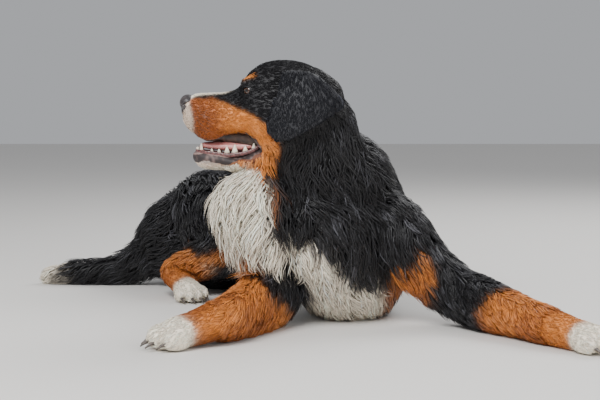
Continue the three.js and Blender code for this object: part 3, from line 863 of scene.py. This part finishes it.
# Coat over each form: length, width of a lock, how freely it hangs, how wavy it is, and the
# sign of its lie along the form. Where left and right are alike they share a row.
COAT = {
    "trunk": (70, 4.4, 0.32, 0.7, 1),
    "neck": (92, 4.3, 0.5, 1.15, 1),
    "bib": (80, 3.4, 0.8, 1.2, 1),
    "tail": (75, 4.2, 0.5, 0.5, 1),
    "upper_arm": (46, 4.2, 0.45, 0.5, 1),
    "forearm_left": (28, 3.2, 0.4, 0.25, 1),
    "forearm_right": (34, 3.2, 0.55, 0.25, 1),
    "thigh": (66, 4.6, 0.4, 0.5, 1),
    "shank": (28, 3.2, 0.3, 0.3, 1),
    "forepaw": (9, 1.9, 0.1, 0.1, 1),
    "hind_foot": (9, 1.9, 0.1, 0.1, 1),
    "skull": (11, 1.6, 0.05, 0.1, -1),
    "lower_jaw": (10, 1.5, 0.15, 0.1, -1),
    "ear": (10, 1.7, 0.1, 0.2, 1),
}


def coat_of(form):
    return COAT.get(form.name) or COAT[form.name.rsplit("_", 1)[0]]


forms = body_forms + foot_forms + [skull, lower_jaw, ear_form(1), ear_form(-1)]
STEPS = 48
EAR_RADIUS = 30
# Outline of the hanging ear from the side, along +X to the nose and +Z up, in the head's frame
EAR_OUTLINE = [
    (10, 64), (17, 60), (21, 48), (27, 22), (33, 0), (43, -27), (42, -48), (27, -65), (12, -71),
    (-3, -65), (-34, -50), (-70, -29), (-102, 0), (-92, 22), (-64, 48), (-44, 62),
]


def patch(across, up, outline):
    """How far points lie inside an outline, in mm; below zero outside it."""
    far = np.full(len(across), 1e9)
    within_it = np.zeros(len(across), bool)
    for (ax, ay), (bx, by) in zip(outline, outline[1:] + outline[:1]):
        dx, dy = bx - ax, by - ay
        t = np.clip(((across - ax) * dx + (up - ay) * dy) / (dx * dx + dy * dy), 0, 1)
        far = np.minimum(far, np.hypot(across - ax - t * dx, up - ay - t * dy))
        crosses = (ay > up) != (by > up)
        edge = ax + (up - ay) * dx / (dy if dy else 1e-9)
        within_it ^= crosses & (across < edge)
    return np.where(within_it, far, -far)


def on_ear(local):
    """Points of the ears, and how far inside the ear's outline they lie, in the head's frame."""
    x, y, z = local.T
    inset = patch(x, z, EAR_OUTLINE)
    out = np.abs(y) > 81 - EAR_CURL * (x - EAR_MIDDLE) ** 2
    out |= (z > 40) & (np.abs(y) > 78 - 1.2 * (z - 40).clip(0, 100)) & (np.abs(y) > 40)
    return (inset > -1) & out, inset


def lie_of_coat(points):
    """Coat values, direction of the hair and coat depth for points of the skin, in mm."""
    scores, ways, depths = [], [], []
    for form in forms:
        place, ahead, _, _, size, trim = form.frame(np.linspace(0, 1, STEPS))
        if form.head:
            place = head_to_row(place)
            ahead = ahead * MIRROR
        radius = np.maximum(size.mean(1) + trim[:, 0] * SKIN_SHARE, 5)
        if form.name.startswith("ear"):
            radius[:] = EAR_RADIUS
        gap = np.linalg.norm(points[:, None] - place[None], axis=2) / radius[None]
        best = gap.argmin(1)
        score = gap[np.arange(len(points)), best]
        if form.name.startswith("ear"):
            local = row_to_head(points)
            same = np.sign(local[:, 1]) == (1 if form.name == "ear_left" else -1)
            score = np.where(on_ear(local)[0] & same, 0, 9)
        scores.append(score)
        ways.append(ahead[best] * coat_of(form)[4])
        depths.append(trim[best, 0])
    scores = np.array(scores)
    weight = np.exp(-7 * (scores - scores.min(0)))
    weight /= weight.sum(0)
    values = np.einsum("fn,fk->nk", weight, np.array([coat_of(f)[:4] for f in forms]))
    way = np.einsum("fn,fnk->nk", weight, np.array(ways))
    depth = np.einsum("fn,fn->n", weight, np.array(depths))
    return values, way, depth


BLACK = np.array([0.0065, 0.006, 0.0075])
# Painted sheen: a blue-grey that stands for light glancing off glossy black hair
PAINTED_SHEEN = np.array([0.1, 0.1, 0.115])
RUST_DEEP = np.array([0.3, 0.075, 0.014])
RUST = np.array([0.68, 0.23, 0.042])
CREAM = np.array([0.95, 0.85, 0.7])
VELVET = np.array([0.0075, 0.008, 0.0115])
GREY = np.array([0.42, 0.36, 0.32])
GUM = np.array([0.2, 0.05, 0.045])

# Outlines of the markings on the side towards +X and -Y, as places along X and up Z
WHITE_CHEST = [
    (-252, 318), (-225, 318), (-202, 277), (-187, 250), (-183, 192), (-164, 173), (-113, 161),
    (-69, 129), (-50, 108), (-26, 78), (7, 68), (33, 71), (37, 26), (37, -30), (-60, -30),
    (-88, 26), (-130, 55), (-168, 87), (-202, 117), (-234, 108), (-300, 110), (-400, 190),
    (-400, 300), (-320, 318),
]
RUST_CHEST = [(33, 0), (33, 60), (56, 95), (106, 133), (126, 121), (116, 60), (98, 0)]
RUST_ABOVE = ([13, 42, 61, 95, 147, 180], [-73, -38, -25, -6, 13, 15])
RUST_BEHIND = ([-190, -152, -114, -73, -50], [66, 48, 29, 13, 13])
CREAM_AHEAD = ([-190, -153, -135, -114, -100], [50, 53, 67, 82, 300])
UPPER_LIP = ([56, 65, 88, 117, 147, 156, 172, 187], [-78, -63, -53, -60, -69, -69, -63, -50])
LIP_LINE = ([50, 65, 73, 117, 161, 185], [-72, -78, -86, -93, -86, -88])
# Upper joint, lower joint and toes of each leg, where its rust starts and how far out it holds
LEGS = (
    (left_elbow, left_wrist, left_toes, 0.48, 84),
    (right_elbow, right_wrist, right_toes, 0.05, 74),
    (right_stifle, right_hock, right_hind_toes, 0.15, 50),
    (left_stifle, left_hock, left_hind_toes, 0.15, 50),
)


def along_bone(points, a, b):
    way = b - a
    t = ((points - a) @ way) / (way @ way)
    off = np.linalg.norm(points - (a + np.clip(t, 0, 1)[:, None] * way), axis=1)
    return t, off


def blob(points, centre, sizes, edge, jag=0.0):
    away = (points - centre) / np.asarray(sizes, float)
    return soft((1 - np.linalg.norm(away, axis=1)) * min(sizes) + jag, edge)


def head_marks(points):
    """Rust, white and grey shares on the head."""
    local = row_to_head(points)
    x, y, z = local.T
    jag = waves(points, 8, 1) * 2.6
    fine = waves(points, 3.5, 2) * 1.2
    edge = jag + fine
    high = soft(np.interp(x, *RUST_ABOVE) - z + edge, 1.6) * soft(x - 13 + edge, 2.5)
    behind = soft(x - np.interp(z, *RUST_BEHIND) + edge, 2.5)
    rust = high * behind
    for side in (-1, 1):
        rust = np.maximum(rust, blob(local, (80, side * 29, 53), (12, 10, 9), 1.2, fine))
    rust = rust * ~on_ear(local)[0]
    blaze = soft(11 + 0.09 * (x - 120) - np.abs(y) + edge * 0.5, 1.5) * soft(x - 118 + edge, 3)
    blaze = blaze * soft(z - 6, 2.5)
    front = soft(x - (187 + 0.16 * (z + 15)) + edge * 0.8, 1.6)
    chin = soft(x - 134 + edge * 2, 6) * soft(-88 - z, 3)
    below = soft(-118 - z + edge, 3) * soft(x - 66, 4)
    throat = soft(x - np.interp(z, *CREAM_AHEAD) + edge, 3) * soft(-112 - z, 3)
    white = np.maximum.reduce([blaze, throat, below])
    white = np.maximum(white, front * 0.62)
    grey = np.maximum(front * 0.38, chin) * (1 - front * 0.62) * (1 - white * (front < 0.1))
    return rust * (1 - white) * (1 - grey), white, grey


def body_marks(points):
    """Rust and white shares on neck, trunk, legs and tail."""
    px, py, pz = points.T
    jag = waves(points, 16, 1) * 6 + waves(points, 6, 2) * 2.5
    near = soft(-30 - py, 8)
    white = soft(patch(px, pz, WHITE_CHEST) + jag, 3) * near
    under = soft(30 - pz + jag, 6) * soft(90 - np.abs(px + 60), 10) * soft(-10 - py, 10)
    white = np.maximum(white, under)
    rust = soft(patch(px, pz, RUST_CHEST) + jag, 4) * near
    streak = soft(5 - np.abs(px + 178 - 0.15 * (pz - 235)) + jag * 0.4, 2.5)
    streak = streak * soft(20 - np.abs(pz - 243), 5) * near * 0.8
    rust = np.maximum(rust, streak)
    x, _, z = row_to_head(points).T
    fall = soft(x - np.interp(z, *RUST_BEHIND) + jag, 3) * soft(np.interp(z, *CREAM_AHEAD) - x + jag, 3)
    rust = np.maximum(rust, fall * soft(z + 165, 4) * soft(-60 - z, 4) * near)
    # The right upper arm is dark under the white of the chest
    t, off = along_bone(points, right_shoulder, right_elbow)
    white = white * (1 - soft(64 - off, 4) * soft((t - 0.35) * 100 + jag, 6) * soft(115 - pz, 5))
    for elbow, wrist, toes, start, band in LEGS:
        t, off = along_bone(points, elbow, wrist)
        shin = np.linalg.norm(wrist - elbow)
        limb = soft(band - off, 3) * soft((t + 0.05) * shin, 5)
        white = white * (1 - limb)
        slope = 0.5 * (pz - elbow[2]) if start > 0.2 else 0
        strip = soft((t - start) * shin + jag - slope, 5)
        if elbow is right_elbow:
            strip = strip * soft(np.interp(pz, [20, 43, 61, 106], [-138, -154, -171, -206]) - px + jag, 4)
        if elbow[1] > 0:
            axis = elbow[2] + t * (wrist[2] - elbow[2])
            strip = strip * soft(15 - np.abs(pz - axis + 3) + 70 * np.clip(t - 0.62, 0, 1) + jag * 0.6, 4)
        rust = rust * (1 - limb) + limb * strip
        s, off = along_bone(points, wrist, toes)
        foot = soft(70 - off, 4) * soft(s * 150 + 8, 5)
        sock = soft((s - 0.5) * 150 + jag, 4) * foot
        rust = np.maximum(rust, foot)
        white = np.maximum(white, sock)
    white = np.maximum(white, soft(-700 - px + jag * 2, 6) * (pz < 80))
    return rust * (1 - white), white


def coat_colour(points, head_share, seed):
    """Colour of the coat at points in mm, with a seed that varies it from lock to lock."""
    tone = np.empty((len(points), 3))
    for is_head in (True, False):
        some = head_share == is_head
        spot = points[some]
        if is_head:
            rust, white, grey = head_marks(spot)
        else:
            rust, white = body_marks(spot)
            grey = np.zeros(len(spot))
        seeds = seed[some]
        glow = waves(spot, 26, 3) * 1.6 + seeds * 0.6
        if is_head:
            local = row_to_head(spot)
            glow = glow + np.interp(local[:, 0], [20, 60, 110, 150], [0.5, 1.6, 1.0, -1.6])
        glow = soft(glow, 0.8)[:, None]
        orange = RUST_DEEP + (RUST - RUST_DEEP) * glow
        # Some black locks are painted a lighter blue-grey in wavy strands: a painted sheen, the gloss of
        # the black coat
        sheen_strand = soft(waves(spot, 8, 0) * 1.1 + seeds * 0.8 - 1.5, 0.35)[:, None] * (0 if is_head else 1)
        black = BLACK + (PAINTED_SHEEN - BLACK) * sheen_strand * 0.6
        r, w, g = rust[:, None], white[:, None], grey[:, None]
        mix = black * (1 - r - w - g).clip(0, 1) + orange * r + CREAM * w + GREY * g
        if is_head:
            flap, inset = on_ear(local)
            mix = np.where(flap[:, None], VELVET, mix)
            # A thin band along the ear's lower edge is painted lighter: a painted highlight where light
            # catches the edge of the flap
            rim = flap & (inset < 3) & (local[:, 2] < 20)
            mix = np.where(rim[:, None], mix * 3.2, mix)
        tone[some] = mix * (1 + 0.14 * seeds[:, None]).clip(0.6, 1.25)
    return tone.clip(0, 0.95)


spots = coords(skin) / MM
values, way, depth = lie_of_coat(spots)
normals = fetch(skin.data.vertex_normals, "vector", 3).astype(float)

px, py, pz = spots.T
h = row_to_head(spots)
hx, _, hz = h.T
head_side = np.arange(len(spots)) < head_count


def within(form, local, extra):
    """Points of the head's frame that lie inside a form, let out by a few millimetres."""
    xs = np.array([p[0] for p in form.places], float)
    t = np.interp(local[:, 0], xs, np.linspace(0, 1, len(xs)))
    place, _, _, _, size, _ = form.frame(t)
    up = local[:, 2] - place[:, 2]
    tall = np.where(up > 0, size[:, 1], size[:, 2]) + extra
    off = (local[:, 1] / (size[:, 0] + extra)) ** 2 + (up / tall) ** 2
    return (off < 1) & (local[:, 0] > xs[0]) & (local[:, 0] < xs[-1])


lip = np.interp(hx, *LIP_LINE)
on_jaw = head_side & (hz < -74) & (hx > 52)
mouth = head_side & within(mouth_space, h, 0.8) & (within(jaw_trough, h, 1.0) | (hz > -78))
wander = waves(spots, 7, 2) * 2.2
edge_up = head_side & (hz < np.interp(hx, *UPPER_LIP) + 4 + wander * 0.4) & (hz > -80)
edge_up &= (hx > 56) & (hx < 187)
edge_up |= head_side & within(mouth_space, h, 4.0) & (hx > 50) & (hz > -80)
edge_up &= ~mouth
lip_band = on_jaw & (hz > lip - np.interp(hx, [90, 130], [14, 20]) + wander) & ~mouth
lips = edge_up | lip_band
nose_bed = head_side & (np.linalg.norm((h - mm(194, 0, 3)) / mm(18, 24, 17), axis=1) < 1)
eye_gap = np.minimum(np.linalg.norm(h - eye_place(1), axis=1), np.linalg.norm(h - eye_place(-1), axis=1))
sockets = head_side & (eye_gap < 15.4)
ear_flap = head_side & on_ear(h)[0]

LIP_DARK = np.array([0.022, 0.014, 0.014])
LIP_PALE = np.array([0.26, 0.17, 0.15])
tone = coat_colour(spots, head_side, waves(spots, 12, 3) * 0.3)
jaw_side = on_jaw & ~lips & ~mouth
brown = soft(118 - hx + wander * 2, 8)[:, None] * soft(hz + 126, 3)[:, None]
tone[jaw_side] = (tone + (RUST_DEEP * 0.45 - tone) * brown)[jaw_side]
mottle = soft(waves(spots, 2.6, 1) + waves(spots, 6, 2) - 0.9, 0.25)[:, None]
tone[lips] = (LIP_DARK + (LIP_PALE - LIP_DARK) * mottle * 0.55)[lips]
# A pale line along the lower lip's edge is a painted highlight, the gleam of its wet edge
ridge = lip_band & (np.abs(hz - lip + 4 + wander * 0.4) < 1.7)
tone[ridge] = LIP_PALE
tone[mouth] = GUM * (1 + 0.25 * waves(spots[mouth], 8)[:, None])
# The rear of the mouth is painted darker: painted shade deep in the mouth
tone[mouth & (hx < 75)] *= 0.35
tone[sockets] = BLACK
whiskered = blob(h * mm(1, 0, 1), mm(166, 0, -30), (20, 500, 27), 3, wander)[:, None] * 0.45
tone = np.where((head_side & ~lips & ~mouth)[:, None], tone * (1 - whiskered), tone)
dots = head_side & (hx > 146) & (hx < 186) & (hz < -8) & (hz > -56)
grid = np.sin(hx * 0.95) * np.sin(hz * 0.85 + 0.5 * np.sin(hx * 0.3))
tone[dots & (grid > 0.6)] *= 0.25
spotted = head_side & (np.linalg.norm((h - mm(36, 60, -82)) / mm(13, 90, 11), axis=1) < 1)
tone[spotted & ~lips & ~mouth] *= 0.4
painted(skin, tone)

hide, shader = material("coat_short", (0.02, 0.02, 0.02), 0.62, {"Sheen Weight": 0.04})
show_paint(hide, shader)
add_grain(hide, shader, 420, 0.5, 0.0008, 6)
dress(skin, hide)
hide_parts(*[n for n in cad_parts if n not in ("nose", "tongue", "eye_left", "eye_right")])
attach(skin, "root")

# Coat
# Thousands of thin tapered locks of hair, rooted in the skin and lying along the body. They are
# long and wavy on neck, chest, trunk, thighs and tail, short and close on face, ears and feet.
SHORT_UNDER = 20
HAIR_FLOOR_GAP = 0.3
skin.data.calc_loop_triangles()
tri = fetch(skin.data.loop_triangles, "vertices", 3, np.int32)
loops = fetch(skin.data.loop_triangles, "loops", 3, np.int32)
chart = fetch(skin.data.uv_layers[0].data, "uv", 2)

on_floor = (pz < 4) & (normals[:, 2] < -0.5)
bare = buried | mouth | lips | nose_bed | (head_side & (eye_gap < 14.6)) | on_floor
full_length, full_width, looseness, waviness = values.T
rear_ear = ear_flap * np.interp(hx, [-75, -25], [1, 0]) * np.interp(hz, [-5, 30], [0.1, 1])
top_ear = ear_flap * np.interp(hz, [30, 58], [0, 1])
wisp = np.maximum(rear_ear, top_ear)
length = np.where(ear_flap, 6 + 13 * wisp, full_length)
width = np.where(ear_flap, 1.3 + 0.9 * wisp, full_width)
short = length < SHORT_UNDER
chin_hair = on_jaw & ~lips & (hz < -98)
length[chin_hair] = 17
width[chin_hair] = 1.7
muzzle = head_side & (hx > 100) & ~chin_hair
length *= np.interp(px, [-740, -640], [0.35, 1.0])
length[muzzle] *= 0.6
width[muzzle] *= 0.8
around_eye = head_side & (eye_gap < 24)
length[around_eye] *= 0.45
width[around_eye] *= 0.7
room = np.where(short, 2.4, np.maximum(depth * 0.65, 6))
room[chin_hair] = 4.5
room[ear_flap] = (1.1 + 3.0 * wisp)[ear_flap]
freedom = np.clip(looseness + 0.3 * np.clip(-normals[:, 2], 0, 1), 0, 0.95)

way = unit(way - normals * (way * normals).sum(1)[:, None])
down = np.zeros_like(way)
down[:, 2] = -1
down = down - normals * (down * normals).sum(1)[:, None]
pull = np.clip(looseness * 1.1, 0, 0.8)
shoulder = soft(70 - py, 25) * soft(full_length - 40, 6)
pull = np.where(short, 0.1, pull + 1.9 * shoulder)
spread = np.zeros_like(way)
spread[:, 0] = -0.9 * np.clip((-222 - px) / 50, 0, 1) * soft(-150 - py, 8) * ~short
spread[:, 0] += 0.6 * np.clip((px + 90) / 120, 0, 1) * shoulder
spread[:, 0] += 0.7 * rear_ear
lie = unit(way + down * pull[:, None] + spread + 1e-6)
cheek_fan = head_side & short & (hx < 60) & (hz < -30) & ~ear_flap
lie[cheek_fan] = unit(lie[cheek_fan] + down[cheek_fan] * 0.9)

skin_bvh = BVHTree.FromPolygons((spots * MM).tolist(), tri.tolist())
face_lie = unit(lie[tri].mean(1))
face_free = freedom[tri].mean(1)


def take_roots(count, density):
    corners = spots[tri]
    across = np.cross(corners[:, 1] - corners[:, 0], corners[:, 2] - corners[:, 0])
    area = np.linalg.norm(across, axis=1) / 2
    weight = area * density[tri].mean(1) * ~bare[tri].any(1)
    faces = rng.choice(len(tri), count, p=weight / weight.sum())
    a, b = np.sqrt(rng.random(count)), rng.random(count)
    return faces, np.stack([1 - a, a * (1 - b), a * b], 1)


def at_root(field, faces, mix):
    corner = field[tri[faces]]
    return np.einsum("nk,nk...->n...", mix, corner)


def run_locks(roots, faces, long, room, wave, steps, drift):
    """The line of each lock, step by step over the skin."""
    count = len(roots)
    lines = np.empty((count, steps + 1, 3))
    norms = np.empty((count, steps + 1, 3))
    lines[:, 0] = roots - at_root(normals, faces, drift["mix"]) * np.minimum(2.0, room * 0.4)[:, None]
    norms[:, 0] = at_root(normals, faces, drift["mix"])
    now = roots.copy()
    normal = norms[:, 0].copy()
    course = face_lie[faces].copy()
    free = face_free[faces]
    flare = drift["flare"] * free
    phase = waves(roots, 34, 1) * 3.0 + drift["own"] * 0.9
    for k in range(1, steps + 1):
        t = k / steps
        sideways = unit(np.cross(course, normal))
        swing = (wave * np.sin(phase + 5.0 * t) + drift["own"] * 0.17)[:, None]
        fall = np.zeros_like(course)
        fall[:, 2] = -0.55
        step = unit(course + sideways * swing + fall * (free * t)[:, None] + normal * flare[:, None])
        now = now + step * (long / steps)[:, None]
        lift = room * drift["rise"] * min(1.0, 0.35 + 0.75 * t)
        for i in range(count):
            hit, way_out, face, _ = skin_bvh.find_nearest(Vector(now[i] * MM))
            out = np.array(way_out)
            gap = (now[i] - np.array(hit) / MM) @ out
            if gap < lift[i]:
                now[i] += out * (lift[i] - gap)
            else:
                now[i] -= out * (gap - lift[i]) * (1 - free[i])
            normal[i] = out
            course[i] = face_lie[face]
        now[:, 2] = np.maximum(now[:, 2], 1.0)
        lines[:, k] = now
        norms[:, k] = normal
    return lines, norms


def gather(lines, roots, share, strength):
    """Pulls the tips of neighbouring locks towards each other, so that they hang in strands."""
    leaders = rng.choice(len(roots), max(len(roots) // share, 1), replace=False)
    tree = KDTree(len(leaders))
    for i, leader in enumerate(leaders):
        tree.insert(Vector(roots[leader]), i)
    tree.balance()
    follow = np.array([leaders[tree.find(Vector(root))[1]] for root in roots])
    t = np.linspace(0, 1, lines.shape[1])[None, :, None]
    return lines + (lines[follow] - lines) * (t**1.5) * strength


def build_locks(name, lines, norms, thick, colours, uvs, shares, stuff):
    """Closed three-sided tapered locks over the lines, as one mesh."""
    count, points = lines.shape[:2]
    rings = points - 1
    ahead = unit(np.gradient(lines, axis=1))
    side = unit(np.cross(ahead, norms))
    half = thick[:, None, None] * np.array(shares)[None, :, None] / 2
    ridge = norms[:, :-1] * half * 0.55
    left = lines[:, :-1] - side[:, :-1] * half
    right = lines[:, :-1] + side[:, :-1] * half
    crown = lines[:, :-1] + ridge
    verts = np.stack([left, crown, right], 2).reshape(count, rings * 3, 3)
    verts = np.concatenate([verts, lines[:, -1:]], 1)
    per = rings * 3 + 1
    faces = []
    for k in range(rings - 1):
        for j in range(3):
            p, q = k * 3 + j, k * 3 + (j + 1) % 3
            faces += [(p, q, p + 3), (q, q + 3, p + 3)]
    end = (rings - 1) * 3
    faces += [(end + j, end + (j + 1) % 3, per - 1) for j in range(3)]
    faces.append((2, 1, 0))
    faces = np.array(faces)[:, ::-1]
    verts[..., 2] = np.maximum(verts[..., 2], HAIR_FLOOR_GAP)
    every = (faces[None] + (np.arange(count) * per)[:, None, None]).reshape(-1, 3)
    data = bpy.data.meshes.new(name)
    data.vertices.add(count * per)
    data.vertices.foreach_set("co", (verts.reshape(-1, 3) * MM).astype(np.float32).ravel())
    data.loops.add(every.size)
    data.loops.foreach_set("vertex_index", every.astype(np.int32).ravel())
    data.polygons.add(len(every))
    data.polygons.foreach_set("loop_start", np.arange(0, every.size, 3, dtype=np.int32))
    data.polygons.foreach_set("use_smooth", np.ones(len(every), bool))
    data.update()
    # Each lock is painted darker at its root and lighter at its tip: painted shade deep in the coat,
    # painted light at the tips
    t = np.append(np.repeat(np.linspace(0, 1, rings + 1)[:-1], 3), 1.0)
    shade = colours[:, None, :] * (0.72 + 0.38 * t)[None, :, None]
    piece = put(name, data)
    painted(piece, shade.reshape(-1, 3))
    strip = np.stack([np.append(np.tile([-1, 0, 1], rings), 0) * 0.0012, (t - 0.5) * 0.0028], 1)
    laid = (uvs[:, None, :] + strip[None]).reshape(-1, 2)
    layer = data.uv_layers.new(name="OFBake")
    layer.data.foreach_set("uv", laid[every.ravel()].astype(np.float32).ravel())
    data.materials.append(stuff)
    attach(piece, "root")


hair, shader = material("coat_hair", (0.02, 0.02, 0.02), 0.4,
                        {"Specular IOR Level": 0.4, "Sheen Weight": 0.03})
show_paint(hair, shader)
nap, shader = material("coat_nap", (0.02, 0.02, 0.02), 0.6,
                       {"Specular IOR Level": 0.16, "Sheen Weight": 0.03})
show_paint(nap, shader)

LONG_LOCKS = 45000
SHORT_LOCKS = 30000
crowd = 1 / (width * length**0.8)
LONG_SHARES = (0.9, 1.0, 0.85, 0.55)
SHORT_SHARES = (1.0, 0.95, 0.6)
for label, total, pieces_of, steps, shares, density, clump in (
    ("long", LONG_LOCKS, 9000, 4, LONG_SHARES, np.where(short, 0.0, crowd), 14),
    ("short", SHORT_LOCKS, 10000, 3, SHORT_SHARES, np.where(short, crowd, 0.0), 6),
):
    faces, mix = take_roots(total, density)
    roots = at_root(spots, faces, mix)
    long = at_root(length, faces, mix) * rng.uniform(0.75, 1.2, total)
    wide = at_root(width, faces, mix) * rng.uniform(0.6, 1.12, total)
    own = rng.normal(size=total)
    drift = {"mix": mix, "own": own, "rise": rng.uniform(0.45, 1.0, total),
             "flare": rng.uniform(0, 1, total) ** 3 * (1.1 if label == "long" else 0.4)}
    wave = at_root(waviness, faces, mix) * 0.8
    lines, norms = run_locks(roots, faces, long, at_root(room, faces, mix), wave, steps, drift)
    lines = gather(lines, roots, clump, 0.55 if label == "long" else 0.3)
    middle = (lines[:, steps // 2] + roots) / 2 if label == "short" else lines[:, steps // 2]
    colours = coat_colour(middle, head_side[tri[faces, 0]], own)
    uvs = np.einsum("nk,nkc->nc", mix, chart[loops[faces]])
    for part in range(math.ceil(total / pieces_of)):
        some = slice(part * pieces_of, (part + 1) * pieces_of)
        build_locks(f"coat_{label}_{part + 1}", lines[some], norms[some], wide[some],
                    colours[some], uvs[some], shares, hair if label == "long" else nap)

# Stage, light and camera
# A plain pale floor and three soft lamps under an even sky, seen from low down at the side of
# the animal, with its head to the left.
bpy.ops.mesh.primitive_plane_add(size=14, location=(0, 3, 0))
floor = bpy.context.active_object
floor.name = "floor"
ground = material("pale_floor", (0.72, 0.7, 0.67), 0.7)[0]
floor.data.materials.append(ground)
world = bpy.data.worlds.new("studio")
bpy.context.scene.world = world
world.use_nodes = True
world.node_tree.nodes["Background"].inputs["Color"].default_value = (0.86, 0.88, 0.92, 1)
world.node_tree.nodes["Background"].inputs["Strength"].default_value = 0.5
LIT_PLACE = Vector((-0.1, 0.0, 0.2))
for name, place, size, power in (
    ("key_light", (-1.2, -2.4, 2.6), 1.8, 150),
    ("rim_light", (1.6, 1.8, 2.6), 2.2, 80),
    ("fill_light", (2.2, -2.4, 1.6), 2.2, 45),
):
    lamp = bpy.data.lights.new(name, "AREA")
    lamp.energy = power
    lamp.size = size
    holder = put(name, lamp)
    holder.location = place
    aim = LIT_PLACE - Vector(place)
    holder.rotation_euler = aim.to_track_quat("-Z", "Y").to_euler()

CAMERA_AT = (-0.13, -2.83, 0.45)
CAMERA_DOWN = 4.32
FOCAL_PIXELS = 1389
PICTURE_WIDE = 600
lens = bpy.data.cameras.new("camera")
lens.lens = lens.sensor_width * FOCAL_PIXELS / PICTURE_WIDE
camera = put("camera", lens)
camera.location = CAMERA_AT
camera.rotation_euler = (math.radians(90 - CAMERA_DOWN), 0, 0)
bpy.context.scene.camera = camera
